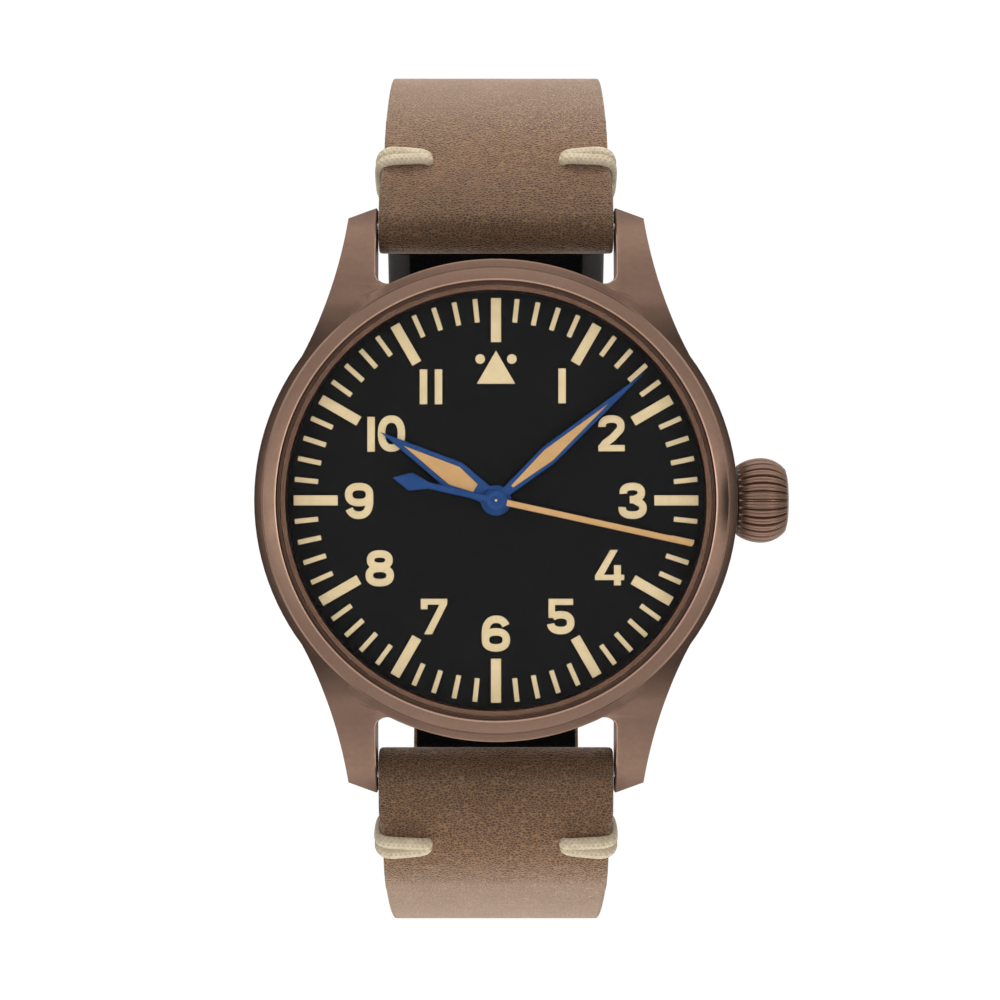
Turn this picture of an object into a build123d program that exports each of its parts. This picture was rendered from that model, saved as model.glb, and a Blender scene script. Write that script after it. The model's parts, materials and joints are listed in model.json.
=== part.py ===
from build123d import *
import os
from math import asin, atan2, cos, degrees, hypot, radians, sin, sqrt

# A hand-wound pilot's wristwatch with its strap closed, in millimetres.
# Zero is the middle of the case back's outer face, Z points out through the dial,
# Y to 12 o'clock and X to the crown at 3 o'clock.
os.makedirs("parts", exist_ok=True)

# Case
case_r = 20.0
lug_gap = 20.0
lug_overhang = 4.7
lug_reach = case_r + lug_overhang
lug_tip_w = 2.4
lug_flare_r = 34.0
lug_drop = 0.4
lug_top_drop = 5.1
lug_corner_r = 1.0
lug_root_r = 1.0
lug_slope_share, lug_bend_share, lug_bend_drop_share = 0.64, 0.87, 0.42
bezel_inset = 0.7
bezel_r = case_r - bezel_inset
lip_inset = 1.9
bezel_lip_r = case_r - lip_inset
bezel_sink = 0.675
bezel_fall = 0.32
bezel_break = 0.15
neck_inset = 1.3
neck_r = case_r - neck_inset
bore_inset = 2.35
bore_r = case_r - bore_inset
shoulder_h = 0.25
thread_inset = 2.0
thread_r = case_r - thread_inset
thread_h = 1.6
flange_inset = 1.25
flange_r = case_r - flange_inset
flange_t = 0.9
floor_t = 0.5
skirt_w = 0.75
notch_w = 2.6
notch_depth = 0.45
notch_count = 6
edge_break = 0.35

# Running and seating clearances
fit = 0.03
run_fit = 0.05
layer_gap = 0.1
cut_over = 1.0

# Crystal, its gasket and the sloped ring round the dial
crystal_inset = 2.25
crystal_r = case_r - crystal_inset
crystal_edge_t = 1.0
crystal_rise = 0.65
crystal_bevel = 0.2
gasket_w = 0.25
lip_stand = 0.15
ledge_w = 0.3
ledge_t = 0.25
aperture_inset = 2.75
aperture_r = case_r - aperture_inset
ring_slope_w = 0.2

# Dial
dial_inset = 2.45
dial_r = case_r - dial_inset
dial_t = 0.4
dial_hole_r = 1.0
foot_r = 0.35
foot_h = 1.2
foot_place_r = 10.2
mark_h = 0.1
bar_inset = 0.8
bar_outer_r = dial_r - bar_inset
minute_bar_len = 1.95
minute_bar_inner_r = bar_outer_r - minute_bar_len
hour_bar_len = 3.65
hour_bar_inner_r = bar_outer_r - hour_bar_len
minute_bar_w = 0.41
hour_bar_w = 0.84
triangle_gap = 0.7
triangle_h = 2.75
triangle_apex_r = hour_bar_inner_r - triangle_gap
triangle_base_r = triangle_apex_r - triangle_h
triangle_w = 3.18
dot_x = 1.31
dot_drop = 0.7
dot_y = triangle_apex_r - dot_drop
dot_r = 0.4

# Hands: each outline is tip, widest point, its half width, hub end and its half width
hour_angle = 300.6
minute_angle = 49.3
seconds_angle = 102.4
hand_t = 0.18
hand_gap = 0.3
hour_inset, hour_lume_short = 6.4, 2.25
hour_tip = dial_r - hour_inset
hour_wide_at, hour_wide, hour_root = 3.98, 1.27, 0.59
hour_lume_tip = hour_tip - hour_lume_short
hour_lume_wide, hour_lume_from, hour_lume_root = 0.86, 1.97, 0.38
minute_inset, minute_lume_short = 1.25, 4.06
minute_tip = dial_r - minute_inset
minute_wide_at, minute_wide, minute_root = 5.72, 0.82, 0.3
minute_lume_tip = minute_tip - minute_lume_short
minute_lume_wide, minute_lume_from, minute_lume_root = 0.56, 1.75, 0.12
hour_hub_r, minute_hub_r, seconds_hub_r = 1.27, 1.04, 0.89
seconds_inset = 0.95
seconds_reach = dial_r - seconds_inset
seconds_w = 0.5
tail_w = 0.53
tail_neck_at, tail_barb_at, tail_barb, tail_tip = 5.65, 7.23, 0.77, 8.74

# Movement: plates, bridges and the heights between them
movement_r = 12.8
bridge_t = 0.75
bridge_over_back = 0.6
train_h = 1.95
plate_t = 1.6
works_depth = 0.9
works_recess_r = 2.4
arbor_tube_r = 0.4
works_pin_r = 0.22
bridge_r = 12.5
foot_ring_r = 11.4
spacer_wall_h = 3.0
wheel_t = 0.15
rim_share, wheel_arms = 0.8, 5
escape_rim_share, escape_arms = 0.68, 4
tooth_foot_share = 0.78
tooth_back = 0.05
tooth_root_share, tooth_tip_share = 1.2, 0.8
jewel_r = 0.5
jewel_t = 0.3
pivot_r = 0.1
arbor_r = 0.2
screw_head_r = 0.75
screw_head_t = 0.3
screw_slot_w = 0.2

# Going train: a wheel and the pinion it drives share a centre distance
barrel_teeth, centre_leaves = 48, 8
centre_teeth, third_leaves = 48, 6
third_teeth, seconds_leaves = 45, 6
seconds_teeth, escape_leaves = 60, 6
escape_teeth = 15
barrel_reach, barrel_angle = 5.9, 60
third_reach, third_angle = 3.6, -80
escape_reach, escape_angle = 3.4, -145
cannon_leaves, minute_teeth = 8, 24
minute_leaves, hour_teeth = 6, 24
works_reach, works_angle = 2.4, -20
escape_r = 2.0
pallet_reach = 2.25
balance_spot = (-7.82, -2.1)
balance_r = 4.0
balance_rim_w = 0.45
balance_rim_h = 0.3
ratchet_r, ratchet_teeth = 3.6, 36
ratchet_ease_share, crown_wheel_ease_share = 0.97, 0.96
crown_wheel_r, crown_wheel_teeth = 2.2, 22
crown_wheel_x = 6.0
click_reach, click_angle = 4.2, 110
click_pocket_r = 1.5
click_len, click_w = 1.3, 0.6
click_spring_w = 0.12

# Winding stem and crown
stem_drop = 0.6
stem_r = 0.5
stem_square = 0.7
stem_end_x = 6.4
pinion_x, pinion_w, pinion_r = 7.6, 1.3, 1.5
pinion_teeth, pinion_root_share, pinion_shares = 12, 0.72, (0.6, 0.3)
clutch_w, clutch_r, clutch_waist_share = 1.5, 1.3, 0.75
tube_r, tube_bore_r = 1.25, 0.75
tube_sink, tube_stand = 3.0, 1.4
tube_in_x, tube_out_x = case_r - tube_sink, case_r + tube_stand
crown_stand = 0.15
crown_x = case_r + crown_stand
crown_len = 4.25
crown_base_r = 2.6
crown_r = 3.55
crown_end_r = 2.6
crown_end_dome = 0.2
crown_belly_share, crown_dome_share, crown_flat_share = 0.48, 0.7, 0.3
flute_run_share = 0.82
crown_bore_r = 1.8
crown_bore_len = 2.6
flute_count = 30
flute_depth = 0.22

# Strap: half widths across, then the run of the leather seen from the side
strap_fold_r = 2.2
spring_bar_inset = 1.7
spring_bar_y = lug_reach - spring_bar_inset
spring_bar_z = 2.2
leather_t = 1.5
lining_t = 0.7
flap_len = 8.6
strap_w = 19.7
pinch_w = 19.0
side_w = 18.6
pinch_from, pinch_lead, side_from = 3.3, 2.4, 19.8
taper_share = 0.7
short_end_w = 18.2
long_end_w = 16.9
lining_inset = 0.3
neck_bend_r = 48.0
short_leave, short_neck, short_shoulder = 30, 38, 62
short_shoulder_r = 16.5
short_side_r = 42.0
wrist_r = 32.0
short_bar_tilt = 20
long_leave, long_neck, long_shoulder = 10, 18, 66
long_neck_r = 40.0
long_shoulder_r = 6.5
long_side_r = 75.0
long_rear_r = 25.0
strap_lay = 0.3
tail_tilt = 50
tail_point = 6.0
eye_r = 1.25
hole_r = 1.05
hole_pitch = 6.4
hole_count_side = 3
tang_hole_tilt = 10.0

# Waxed cord stitches
cord_d = 0.7
cord_gap = 0.42
cord_lift = 0.18
cord_bend_r = 0.8
cord_along = 6.4
cord_sides = 8
cord_hole_x = 5.4

# Keepers and buckle
keeper_in_w = 19.9
keeper_t = 1.15
keeper_corner_r, keeper_bend_r = 2.5, 0.8
keeper_len = 4.8
keeper_tilt = 32
free_keeper_tilt = 44
keeper_play = 0.25
tuck_t = 0.6
tuck_len = 4.5
buckle_bar_r = 0.75
frame_in_w = 18.9
frame_side_w = 1.6
frame_bar_r = 1.05
frame_arm_h = 2.3
frame_bar_tilt = -2
tang_w = 1.8
tang_t = 0.9
spring_bar_r = 0.8
tip_r = 0.4
tip_len = 1.6
tip_stand = 1.0

# Heights worked out from the stack above the case back
back_inner_z = floor_t + floor_t
bridge_z = back_inner_z + bridge_over_back
bridge_top = bridge_z + bridge_t
plate_z = bridge_top + train_h
dial_z = plate_z + plate_t
dial_top = dial_z + dial_t
works_z = dial_z - works_depth
hour_hand_z = dial_top + hand_gap
minute_hand_z = hour_hand_z + hand_t + hand_gap - layer_gap / 2
seconds_hand_z = minute_hand_z + hand_t + hand_gap - layer_gap / 2
seconds_hand_top = seconds_hand_z + hand_t
crystal_z = seconds_hand_top + hand_gap
crystal_edge_z = crystal_z + crystal_edge_t
bezel_top = crystal_edge_z + lip_stand
ledge_z = crystal_z - ledge_t
seat_z = ledge_z - bezel_sink
stem_z = plate_z - stem_drop

seconds_wheel_z = bridge_top + layer_gap
third_wheel_z = seconds_wheel_z + wheel_t + layer_gap
seconds_pinion_z = third_wheel_z - tooth_back
seconds_pinion_h = wheel_t + 2 * tooth_back
centre_pinion_z = seconds_pinion_z + seconds_pinion_h + tooth_back
barrel_tooth_t = 0.25
centre_pinion_h = barrel_tooth_t + 2 * tooth_back
barrel_tooth_z = centre_pinion_z + tooth_back
escape_wheel_z = centre_pinion_z + centre_pinion_h
centre_wheel_z = plate_z - layer_gap - wheel_t
drum_z = third_wheel_z
drum_top = centre_wheel_z - layer_gap
balance_z = bridge_top + 3 * layer_gap
pallet_z = escape_wheel_z
pallet_t = 0.2
ratchet_z = bridge_z + tooth_back
ratchet_t = 0.35


def polar(reach, angle):
    """A point in the dial plane, angle in degrees from X towards Y."""
    return (reach * cos(radians(angle)), reach * sin(radians(angle)))


def clock(reach, angle):
    """A point in the dial plane, angle in degrees clockwise from 12 o'clock."""
    return (reach * sin(radians(angle)), reach * cos(radians(angle)))


def at(spot, z):
    """A level plane at a point of the dial plane."""
    return Plane(origin=(spot[0], spot[1], z))


def ring(spot, z, height, outer_r, inner_r=0, mode=Mode.ADD):
    """A disc or ring standing on height z, in the part being built."""
    with BuildSketch(at(spot, z)) as face:
        Circle(outer_r)
        if inner_r:
            Circle(inner_r, mode=Mode.SUBTRACT)
    extrude(face.sketch, amount=height, mode=mode)


def turned(*points):
    """A solid of revolution round Z from radius and height points."""
    with BuildSketch(Plane.XZ) as section:
        with BuildLine():
            Polyline(*points, close=True)
        make_face()
    revolve(section.sketch, axis=Axis.Z)


def tooth_points(teeth, root_r, tip_r, root_share, tip_share, phase):
    """Outline of straight-sided teeth, the first one pointing at the angle phase."""
    points = []
    pitch = 360 / teeth
    for tooth in range(teeth):
        middle = phase + tooth * pitch
        points.append(polar(root_r, middle - pitch * root_share / 2))
        points.append(polar(tip_r, middle - pitch * tip_share / 2))
        points.append(polar(tip_r, middle + pitch * tip_share / 2))
        points.append(polar(root_r, middle + pitch * root_share / 2))
    return points


def toothed(spot, z, height, teeth, pitch_r, phase, shares=(0.5, 0.22), inner_r=0, mode=Mode.ADD):
    """A toothed disc whose teeth stand a share of the module either side of pitch_r."""
    module = 2 * pitch_r / teeth
    with BuildSketch(at(spot, z)) as outline:
        with BuildLine():
            Polyline(
                *tooth_points(
                    teeth,
                    pitch_r - tooth_root_share * module,
                    pitch_r + tooth_tip_share * module,
                    *shares,
                    phase,
                ),
                close=True,
            )
        make_face()
        if inner_r:
            Circle(inner_r, mode=Mode.SUBTRACT)
    extrude(outline.sketch, amount=height, mode=mode)


def crossing(spot, z, height, hub_r, rim_r, arm_w, arms):
    """Cuts the gaps between a wheel's arms."""
    with BuildSketch(at(spot, z)) as gaps:
        Circle(rim_r)
        Circle(hub_r, mode=Mode.SUBTRACT)
        with PolarLocations(0, arms):
            Rectangle(rim_r, arm_w, align=(Align.MIN, Align.CENTER), mode=Mode.SUBTRACT)
    extrude(gaps.sketch, amount=height, mode=Mode.SUBTRACT)


def mesh_radii(distance, wheel, pinion):
    """Pitch radii of a wheel and pinion that run at this centre distance."""
    return distance * wheel / (wheel + pinion), distance * pinion / (wheel + pinion)


centre = (0, 0)
barrel_spot = polar(barrel_reach, barrel_angle)
third_spot = polar(third_reach, third_angle)
escape_spot = polar(escape_reach, escape_angle)
works_spot = polar(works_reach, works_angle)
crown_wheel_spot = (crown_wheel_x, 0)
escape_to_balance = degrees(
    atan2(balance_spot[1] - escape_spot[1], balance_spot[0] - escape_spot[0])
)
pallet_spot = (
    escape_spot[0] + pallet_reach * cos(radians(escape_to_balance)),
    escape_spot[1] + pallet_reach * sin(radians(escape_to_balance)),
)

# Case middle with four lugs, the crown tube's hole and the spring bar holes
case_floor = flange_t
lug_inner_x = lug_gap / 2
flare_tangent = 31.4
flare_root_r = case_r - 4 * fit
flare_centre = polar(flare_root_r + lug_flare_r, flare_tangent)
tip_outer = (lug_inner_x + lug_tip_w, lug_reach - lug_corner_r)
root_x = lug_inner_x - lug_root_r
root_y = sqrt((case_r + lug_root_r) ** 2 - root_x**2)
root_turn = degrees(atan2(root_y, root_x)) - 180
with BuildPart() as case_middle:
    with BuildSketch(Plane.XY.offset(-lug_drop)):
        with BuildLine():
            start = polar(flare_root_r, flare_tangent)
            swing = degrees(atan2(tip_outer[1] - flare_centre[1], tip_outer[0] - flare_centre[0]))
            swing_start = flare_tangent + 180
            middle_angle = (swing_start + swing % 360) / 2
            middle = (
                flare_centre[0] + lug_flare_r * cos(radians(middle_angle)),
                flare_centre[1] + lug_flare_r * sin(radians(middle_angle)),
            )
            ThreePointArc(start, middle, tip_outer)
            Line(tip_outer, (lug_inner_x, lug_reach))
            Line((lug_inner_x, lug_reach), (lug_inner_x, bore_r - 2 * lug_tip_w))
            Line((lug_inner_x, bore_r - 2 * lug_tip_w), start)
        make_face()
        with BuildLine():
            CenterArc((root_x, root_y), lug_root_r, root_turn, -root_turn)
            foot_x, foot_y = polar(lug_root_r, root_turn)
            Polyline(
                (root_x + foot_x, root_y + foot_y),
                (root_x, bore_r - lug_tip_w),
                (lug_inner_x + fit, bore_r - lug_tip_w),
                (lug_inner_x + fit, root_y),
                (lug_inner_x, root_y),
            )
        make_face()
        mirror(about=Plane.YZ)
        mirror(about=Plane.XZ)
    extrude(amount=seat_z + lug_drop)
    with BuildSketch(Plane.YZ):
        with BuildLine():
            Polyline(
                (-lug_reach, seat_z - lug_top_drop),
                (-lug_reach, -lug_drop),
                (-lug_reach + 2 * lug_corner_r, -lug_drop),
            )
            ThreePointArc(
                (-lug_reach + 2 * lug_corner_r, -lug_drop),
                (0, case_floor + lug_drop),
                (lug_reach - 2 * lug_corner_r, -lug_drop),
            )
            Polyline(
                (lug_reach - 2 * lug_corner_r, -lug_drop),
                (lug_reach, -lug_drop),
                (lug_reach, seat_z - lug_top_drop),
            )
            ThreePointArc(
                (lug_reach, seat_z - lug_top_drop),
                (lug_reach * lug_bend_share, seat_z - lug_bend_drop_share * lug_top_drop),
                (lug_reach * lug_slope_share, seat_z),
            )
            Line((lug_reach * lug_slope_share, seat_z), (-lug_reach * lug_slope_share, seat_z))
            ThreePointArc(
                (-lug_reach * lug_slope_share, seat_z),
                (-lug_reach * lug_bend_share, seat_z - lug_bend_drop_share * lug_top_drop),
                (-lug_reach, seat_z - lug_top_drop),
            )
        make_face()
    extrude(amount=case_r, both=True, mode=Mode.INTERSECT)
    ring(centre, case_floor, seat_z - case_floor, case_r)
    with BuildSketch(Plane.XZ):
        with BuildLine():
            Polyline(
                (0, -lug_drop - cut_over),
                (thread_r, -lug_drop - cut_over),
                (flange_r + fit, case_floor),
                (thread_r, case_floor),
                (thread_r, case_floor + thread_h),
                (bore_r, case_floor + thread_h),
                (bore_r, seat_z + cut_over),
                (0, seat_z + cut_over),
                close=True,
            )
        make_face()
    revolve(axis=Axis.Z, mode=Mode.SUBTRACT)
    ring(centre, -lug_drop - cut_over, lug_drop + cut_over + case_floor, flange_r + fit, 0, Mode.SUBTRACT)
    ring(centre, seat_z - shoulder_h, ledge_z - seat_z + shoulder_h, neck_r, bore_r)
    with BuildSketch(Plane.YZ):
        with Locations((0, stem_z)):
            Circle(tube_r)
    extrude(amount=case_r + cut_over, mode=Mode.SUBTRACT)
    with BuildSketch(Plane.YZ):
        with Locations((spring_bar_y, spring_bar_z), (-spring_bar_y, spring_bar_z)):
            Circle(tip_r + run_fit)
    extrude(amount=lug_inner_x + tip_stand + layer_gap, both=True, mode=Mode.SUBTRACT)
case_middle.part.label = "case_middle"
export_step(case_middle.part, "parts/case_middle.step")

# Screw-down case back with notches for a case wrench
with BuildPart() as case_back:
    turned(
        (0, 0),
        (flange_r - edge_break, 0),
        (flange_r, edge_break),
        (flange_r, flange_t),
        (thread_r - fit, flange_t),
        (thread_r - fit, flange_t + thread_h - layer_gap),
        (thread_r - skirt_w, flange_t + thread_h - layer_gap),
        (thread_r - skirt_w, back_inner_z),
        (0, back_inner_z),
    )
    with BuildSketch():
        with PolarLocations(flange_r, notch_count):
            Rectangle(2 * notch_w, notch_w)
    extrude(amount=notch_depth, mode=Mode.SUBTRACT)
case_back.part.label = "case_back"
export_step(case_back.part, "parts/case_back.step")

with BuildPart() as case_back_gasket:
    ring(centre, flange_t + thread_h - layer_gap, layer_gap, thread_r - fit, thread_r - skirt_w)
case_back_gasket.part.label = "case_back_gasket"
export_step(case_back_gasket.part, "parts/case_back_gasket.step")

# Bezel pressed over the neck of the case, holding the crystal in its gasket
gasket_r = crystal_r + gasket_w
with BuildPart() as bezel:
    turned(
        (neck_r + fit, seat_z),
        (bezel_r, seat_z),
        (bezel_r, bezel_top - bezel_fall - bezel_break),
        (bezel_r - bezel_break, bezel_top - bezel_fall),
        (bezel_lip_r + bezel_break, bezel_top),
        (bezel_lip_r, bezel_top - lip_stand / 2),
        (gasket_r, crystal_edge_z - crystal_bevel),
        (gasket_r, crystal_z),
        (bore_r - ledge_w, crystal_z),
        (bore_r - ledge_w, ledge_z),
        (neck_r + fit, ledge_z),
    )
bezel.part.label = "bezel"
export_step(bezel.part, "parts/bezel.step")

with BuildPart() as crystal_gasket:
    ring(centre, crystal_z, crystal_edge_t - crystal_bevel, gasket_r, crystal_r)
crystal_gasket.part.label = "crystal_gasket"
export_step(crystal_gasket.part, "parts/crystal_gasket.step")

# Domed crystal with a bevelled edge
dome_foot_r = crystal_r - crystal_bevel
dome_r = (dome_foot_r**2 + crystal_rise**2) / (2 * crystal_rise)
dome_half_angle = degrees(asin(dome_foot_r / dome_r))
with BuildPart() as crystal:
    with BuildSketch(Plane.XZ):
        with BuildLine():
            Polyline(
                (0, crystal_edge_z + crystal_rise),
                (0, crystal_z),
                (crystal_r, crystal_z),
                (crystal_r, crystal_edge_z - crystal_bevel),
                (dome_foot_r, crystal_edge_z),
            )
            CenterArc(
                (0, crystal_edge_z + crystal_rise - dome_r), dome_r, 90 - dome_half_angle, dome_half_angle
            )
        make_face()
    revolve(axis=Axis.Z)
crystal.part.label = "crystal"
export_step(crystal.part, "parts/crystal.step")

with BuildPart() as flange_ring:
    turned(
        (aperture_r, dial_top),
        (bore_r - fit, dial_top),
        (bore_r - fit, ledge_z),
        (aperture_r + ring_slope_w, ledge_z),
    )
flange_ring.part.label = "flange_ring"
export_step(flange_ring.part, "parts/flange_ring.step")

# Dial with two feet that locate it on the main plate
foot_spots = (polar(foot_place_r, 135), polar(foot_place_r, 315))
with BuildPart() as dial:
    ring(centre, dial_z, dial_t, dial_r, dial_hole_r)
    for spot in foot_spots:
        ring(spot, dial_z - foot_h, foot_h, foot_r)
dial.part.label = "dial"
export_step(dial.part, "parts/dial.step")

# Raised luminous bars, the triangle and its two dots
with BuildPart() as dial_markers:
    with BuildSketch(Plane.XY.offset(dial_top)):
        for minute in range(60):
            inner_r = minute_bar_inner_r if minute % 5 else hour_bar_inner_r
            bar_w = minute_bar_w if minute % 5 else hour_bar_w
            middle = (*clock((inner_r + bar_outer_r) / 2, 6 * minute), 0)
            with Locations(Location(middle, (0, 0, -6 * minute))):
                Rectangle(bar_w, bar_outer_r - inner_r)
        with BuildLine():
            Polyline(
                (-triangle_w / 2, triangle_base_r),
                (triangle_w / 2, triangle_base_r),
                (0, triangle_apex_r),
                close=True,
            )
        make_face()
        with Locations((-dot_x, dot_y), (dot_x, dot_y)):
            Circle(dot_r)
    extrude(amount=mark_h)
dial_markers.part.label = "dial_markers"
export_step(dial_markers.part, "parts/dial_markers.step")


def hand_plane(angle, z):
    """A level plane whose Y axis points along a hand at this clock angle."""
    along = clock(1, angle)
    return Plane(origin=(0, 0, z), x_dir=(along[1], -along[0], 0), z_dir=(0, 0, 1))


def leaf(tip, wide_at, wide, root_at, root, mode=Mode.ADD):
    """Half-diamond outline of a sword hand or of the lume set in it."""
    with BuildLine() as edge:
        Polyline((-root, root_at), (-wide, wide_at), (0, tip), (wide, wide_at), (root, root_at), close=True)
    make_face(edge.edges(), mode=mode)


hour_pipe_r = 0.8
cannon_r = 0.55
seconds_pipe_r = 0.3
with BuildPart() as hour_hand:
    with BuildSketch(hand_plane(hour_angle, hour_hand_z)):
        leaf(hour_tip, hour_wide_at, hour_wide, 0, hour_root)
        Circle(hour_hub_r)
        Circle(hour_pipe_r, mode=Mode.SUBTRACT)
        leaf(hour_lume_tip, hour_wide_at, hour_lume_wide, hour_lume_from, hour_lume_root, Mode.SUBTRACT)
    extrude(amount=hand_t)
hour_hand.part.label = "hour_hand"
export_step(hour_hand.part, "parts/hour_hand.step")

with BuildPart() as hour_hand_lume:
    with BuildSketch(hand_plane(hour_angle, hour_hand_z)):
        leaf(hour_lume_tip, hour_wide_at, hour_lume_wide, hour_lume_from, hour_lume_root)
    extrude(amount=hand_t - fit)
hour_hand_lume.part.label = "hour_hand_lume"
export_step(hour_hand_lume.part, "parts/hour_hand_lume.step")

with BuildPart() as minute_hand:
    with BuildSketch(hand_plane(minute_angle, minute_hand_z)):
        leaf(minute_tip, minute_wide_at, minute_wide, 0, minute_root)
        Circle(minute_hub_r)
        Circle(cannon_r, mode=Mode.SUBTRACT)
        leaf(
            minute_lume_tip,
            minute_wide_at,
            minute_lume_wide,
            minute_lume_from,
            minute_lume_root,
            Mode.SUBTRACT,
        )
    extrude(amount=hand_t)
minute_hand.part.label = "minute_hand"
export_step(minute_hand.part, "parts/minute_hand.step")

with BuildPart() as minute_hand_lume:
    with BuildSketch(hand_plane(minute_angle, minute_hand_z)):
        leaf(minute_lume_tip, minute_wide_at, minute_lume_wide, minute_lume_from, minute_lume_root)
    extrude(amount=hand_t - fit)
minute_hand_lume.part.label = "minute_hand_lume"
export_step(minute_hand_lume.part, "parts/minute_hand_lume.step")

with BuildPart() as seconds_hand:
    with BuildSketch(hand_plane(seconds_angle, seconds_hand_z)):
        with BuildLine():
            Polyline(
                (-tail_w / 2, 0),
                (tail_w / 2, 0),
                (tail_w / 2, -tail_neck_at),
                (tail_barb, -tail_barb_at),
                (0, -tail_tip),
                (-tail_barb, -tail_barb_at),
                (-tail_w / 2, -tail_neck_at),
                close=True,
            )
        make_face()
        Circle(seconds_hub_r)
        Circle(arbor_r, mode=Mode.SUBTRACT)
    extrude(amount=hand_t)
    with BuildSketch(Plane.XY.offset(seconds_hand_z - hand_t)):
        Circle(seconds_pipe_r)
        Circle(arbor_r, mode=Mode.SUBTRACT)
    extrude(amount=hand_t)
seconds_hand.part.label = "seconds_hand"
export_step(seconds_hand.part, "parts/seconds_hand.step")

with BuildPart() as seconds_hand_lume:
    with BuildSketch(hand_plane(seconds_angle, seconds_hand_z)):
        Rectangle(seconds_w, seconds_reach, align=(Align.CENTER, Align.MIN))
        Circle(seconds_hub_r + fit, mode=Mode.SUBTRACT)
    extrude(amount=hand_t)
seconds_hand_lume.part.label = "seconds_hand_lume"
export_step(seconds_hand_lume.part, "parts/seconds_hand_lume.step")

# Main plate: motion work recess on the dial side, keyless pocket and pivot holes
keyless_x = pinion_x - layer_gap
keyless_len = pinion_w + clutch_w + 6 * layer_gap
with BuildPart() as main_plate:
    ring(centre, plate_z, plate_t, movement_r)
    ring(centre, works_z, works_depth, works_recess_r, 0, Mode.SUBTRACT)
    ring(works_spot, works_z, works_depth, works_recess_r, 0, Mode.SUBTRACT)
    ring(centre, plate_z, plate_t, arbor_tube_r + run_fit, 0, Mode.SUBTRACT)
    with BuildSketch(Plane.XY.offset(plate_z)):
        with Locations((keyless_x, 0)):
            Rectangle(keyless_len, 2 * pinion_r + 2 * layer_gap, align=(Align.MIN, Align.CENTER))
    extrude(amount=stem_z + pinion_r + layer_gap - plate_z, mode=Mode.SUBTRACT)
    with BuildSketch(Plane.YZ.offset(stem_end_x - layer_gap)):
        with Locations((0, stem_z)):
            Circle(stem_r + 2 * layer_gap)
    extrude(amount=movement_r, mode=Mode.SUBTRACT)
    for spot in foot_spots:
        ring(spot, dial_z - foot_h, foot_h, foot_r + fit, 0, Mode.SUBTRACT)
    for spot in (third_spot, escape_spot, balance_spot, pallet_spot):
        ring(spot, plate_z, jewel_t, jewel_r, 0, Mode.SUBTRACT)
        ring(spot, plate_z, plate_t, 2 * pivot_r, 0, Mode.SUBTRACT)
    ring(barrel_spot, plate_z, 3 * jewel_t, arbor_r + run_fit, 0, Mode.SUBTRACT)
    ring(works_spot, works_z, works_depth - layer_gap, works_pin_r)
main_plate.part.label = "main_plate"
export_step(main_plate.part, "parts/main_plate.step")

# Bridges: flat plates on feet that stand on the main plate near its edge
bridge_edge = ((-11.0, 8.0), (0.2, 1.3), (3.2, -1.3), (5.2, -11.6))


def bridge_plate(points, z=bridge_z, height=bridge_t):
    """A flat bridge cut from the movement's round outline by straight edges."""
    with BuildSketch(Plane.XY.offset(z)) as outline:
        Circle(bridge_r)
        with BuildLine():
            Polyline(*points, close=True)
        make_face(mode=Mode.INTERSECT)
    extrude(outline.sketch, amount=height)


def bridge_foot(from_angle, to_angle):
    """A wall along the edge that carries a bridge down to the main plate."""
    with BuildSketch(Plane.XY.offset(bridge_top)) as wall:
        with BuildLine():
            inner = CenterArc((0, 0), foot_ring_r, from_angle, to_angle - from_angle)
            outer = CenterArc((0, 0), bridge_r, from_angle, to_angle - from_angle)
            Line(inner @ 0, outer @ 0)
            Line(inner @ 1, outer @ 1)
        make_face()
    extrude(wall.sketch, amount=train_h)


def jewel_seat(spot):
    """A through hole for a pivot jewel in the bridge being built."""
    ring(spot, bridge_z, bridge_t, jewel_r, 0, Mode.SUBTRACT)


click_spot = (
    barrel_spot[0] + click_reach * cos(radians(click_angle)),
    barrel_spot[1] + click_reach * sin(radians(click_angle)),
)
far = 2 * movement_r
with BuildPart() as barrel_bridge:
    bridge_plate((*bridge_edge, (far, -far), (far, far), (-far, far)))
    bridge_foot(-55, -15)
    bridge_foot(30, 130)
    ring(barrel_spot, bridge_z, tooth_back + ratchet_t, ratchet_r + 3 * layer_gap, 0, Mode.SUBTRACT)
    ring(barrel_spot, bridge_z, bridge_t, 2 * arbor_r + run_fit, 0, Mode.SUBTRACT)
    ring(crown_wheel_spot, bridge_z, tooth_back + ratchet_t, crown_wheel_r + 3 * layer_gap, 0, Mode.SUBTRACT)
    ring(crown_wheel_spot, bridge_z + tooth_back, bridge_t - tooth_back, 2 * arbor_r)
    ring(click_spot, bridge_z, tooth_back + ratchet_t, click_pocket_r, 0, Mode.SUBTRACT)
    ring(click_spot, bridge_z + tooth_back, bridge_t - tooth_back, arbor_r)
    with BuildSketch(Plane.XY.offset(bridge_z)):
        with Locations((keyless_x, 0)):
            Rectangle(keyless_len, 2 * pinion_r + 2 * layer_gap, align=(Align.MIN, Align.CENTER))
    extrude(amount=bridge_t, mode=Mode.SUBTRACT)
barrel_bridge.part.label = "barrel_bridge"
export_step(barrel_bridge.part, "parts/barrel_bridge.step")

train_edge = ((-4.2, 0.2), (-0.1, 1.05), (2.8, -1.6), (4.7, -12.4), (-5.5, -12.4), (-3.6, -4.5))
with BuildPart() as train_bridge:
    bridge_plate(train_edge)
    bridge_foot(-108, -72)
    for spot in (centre, third_spot, escape_spot):
        jewel_seat(spot)
train_bridge.part.label = "train_bridge"
export_step(train_bridge.part, "parts/train_bridge.step")

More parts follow.
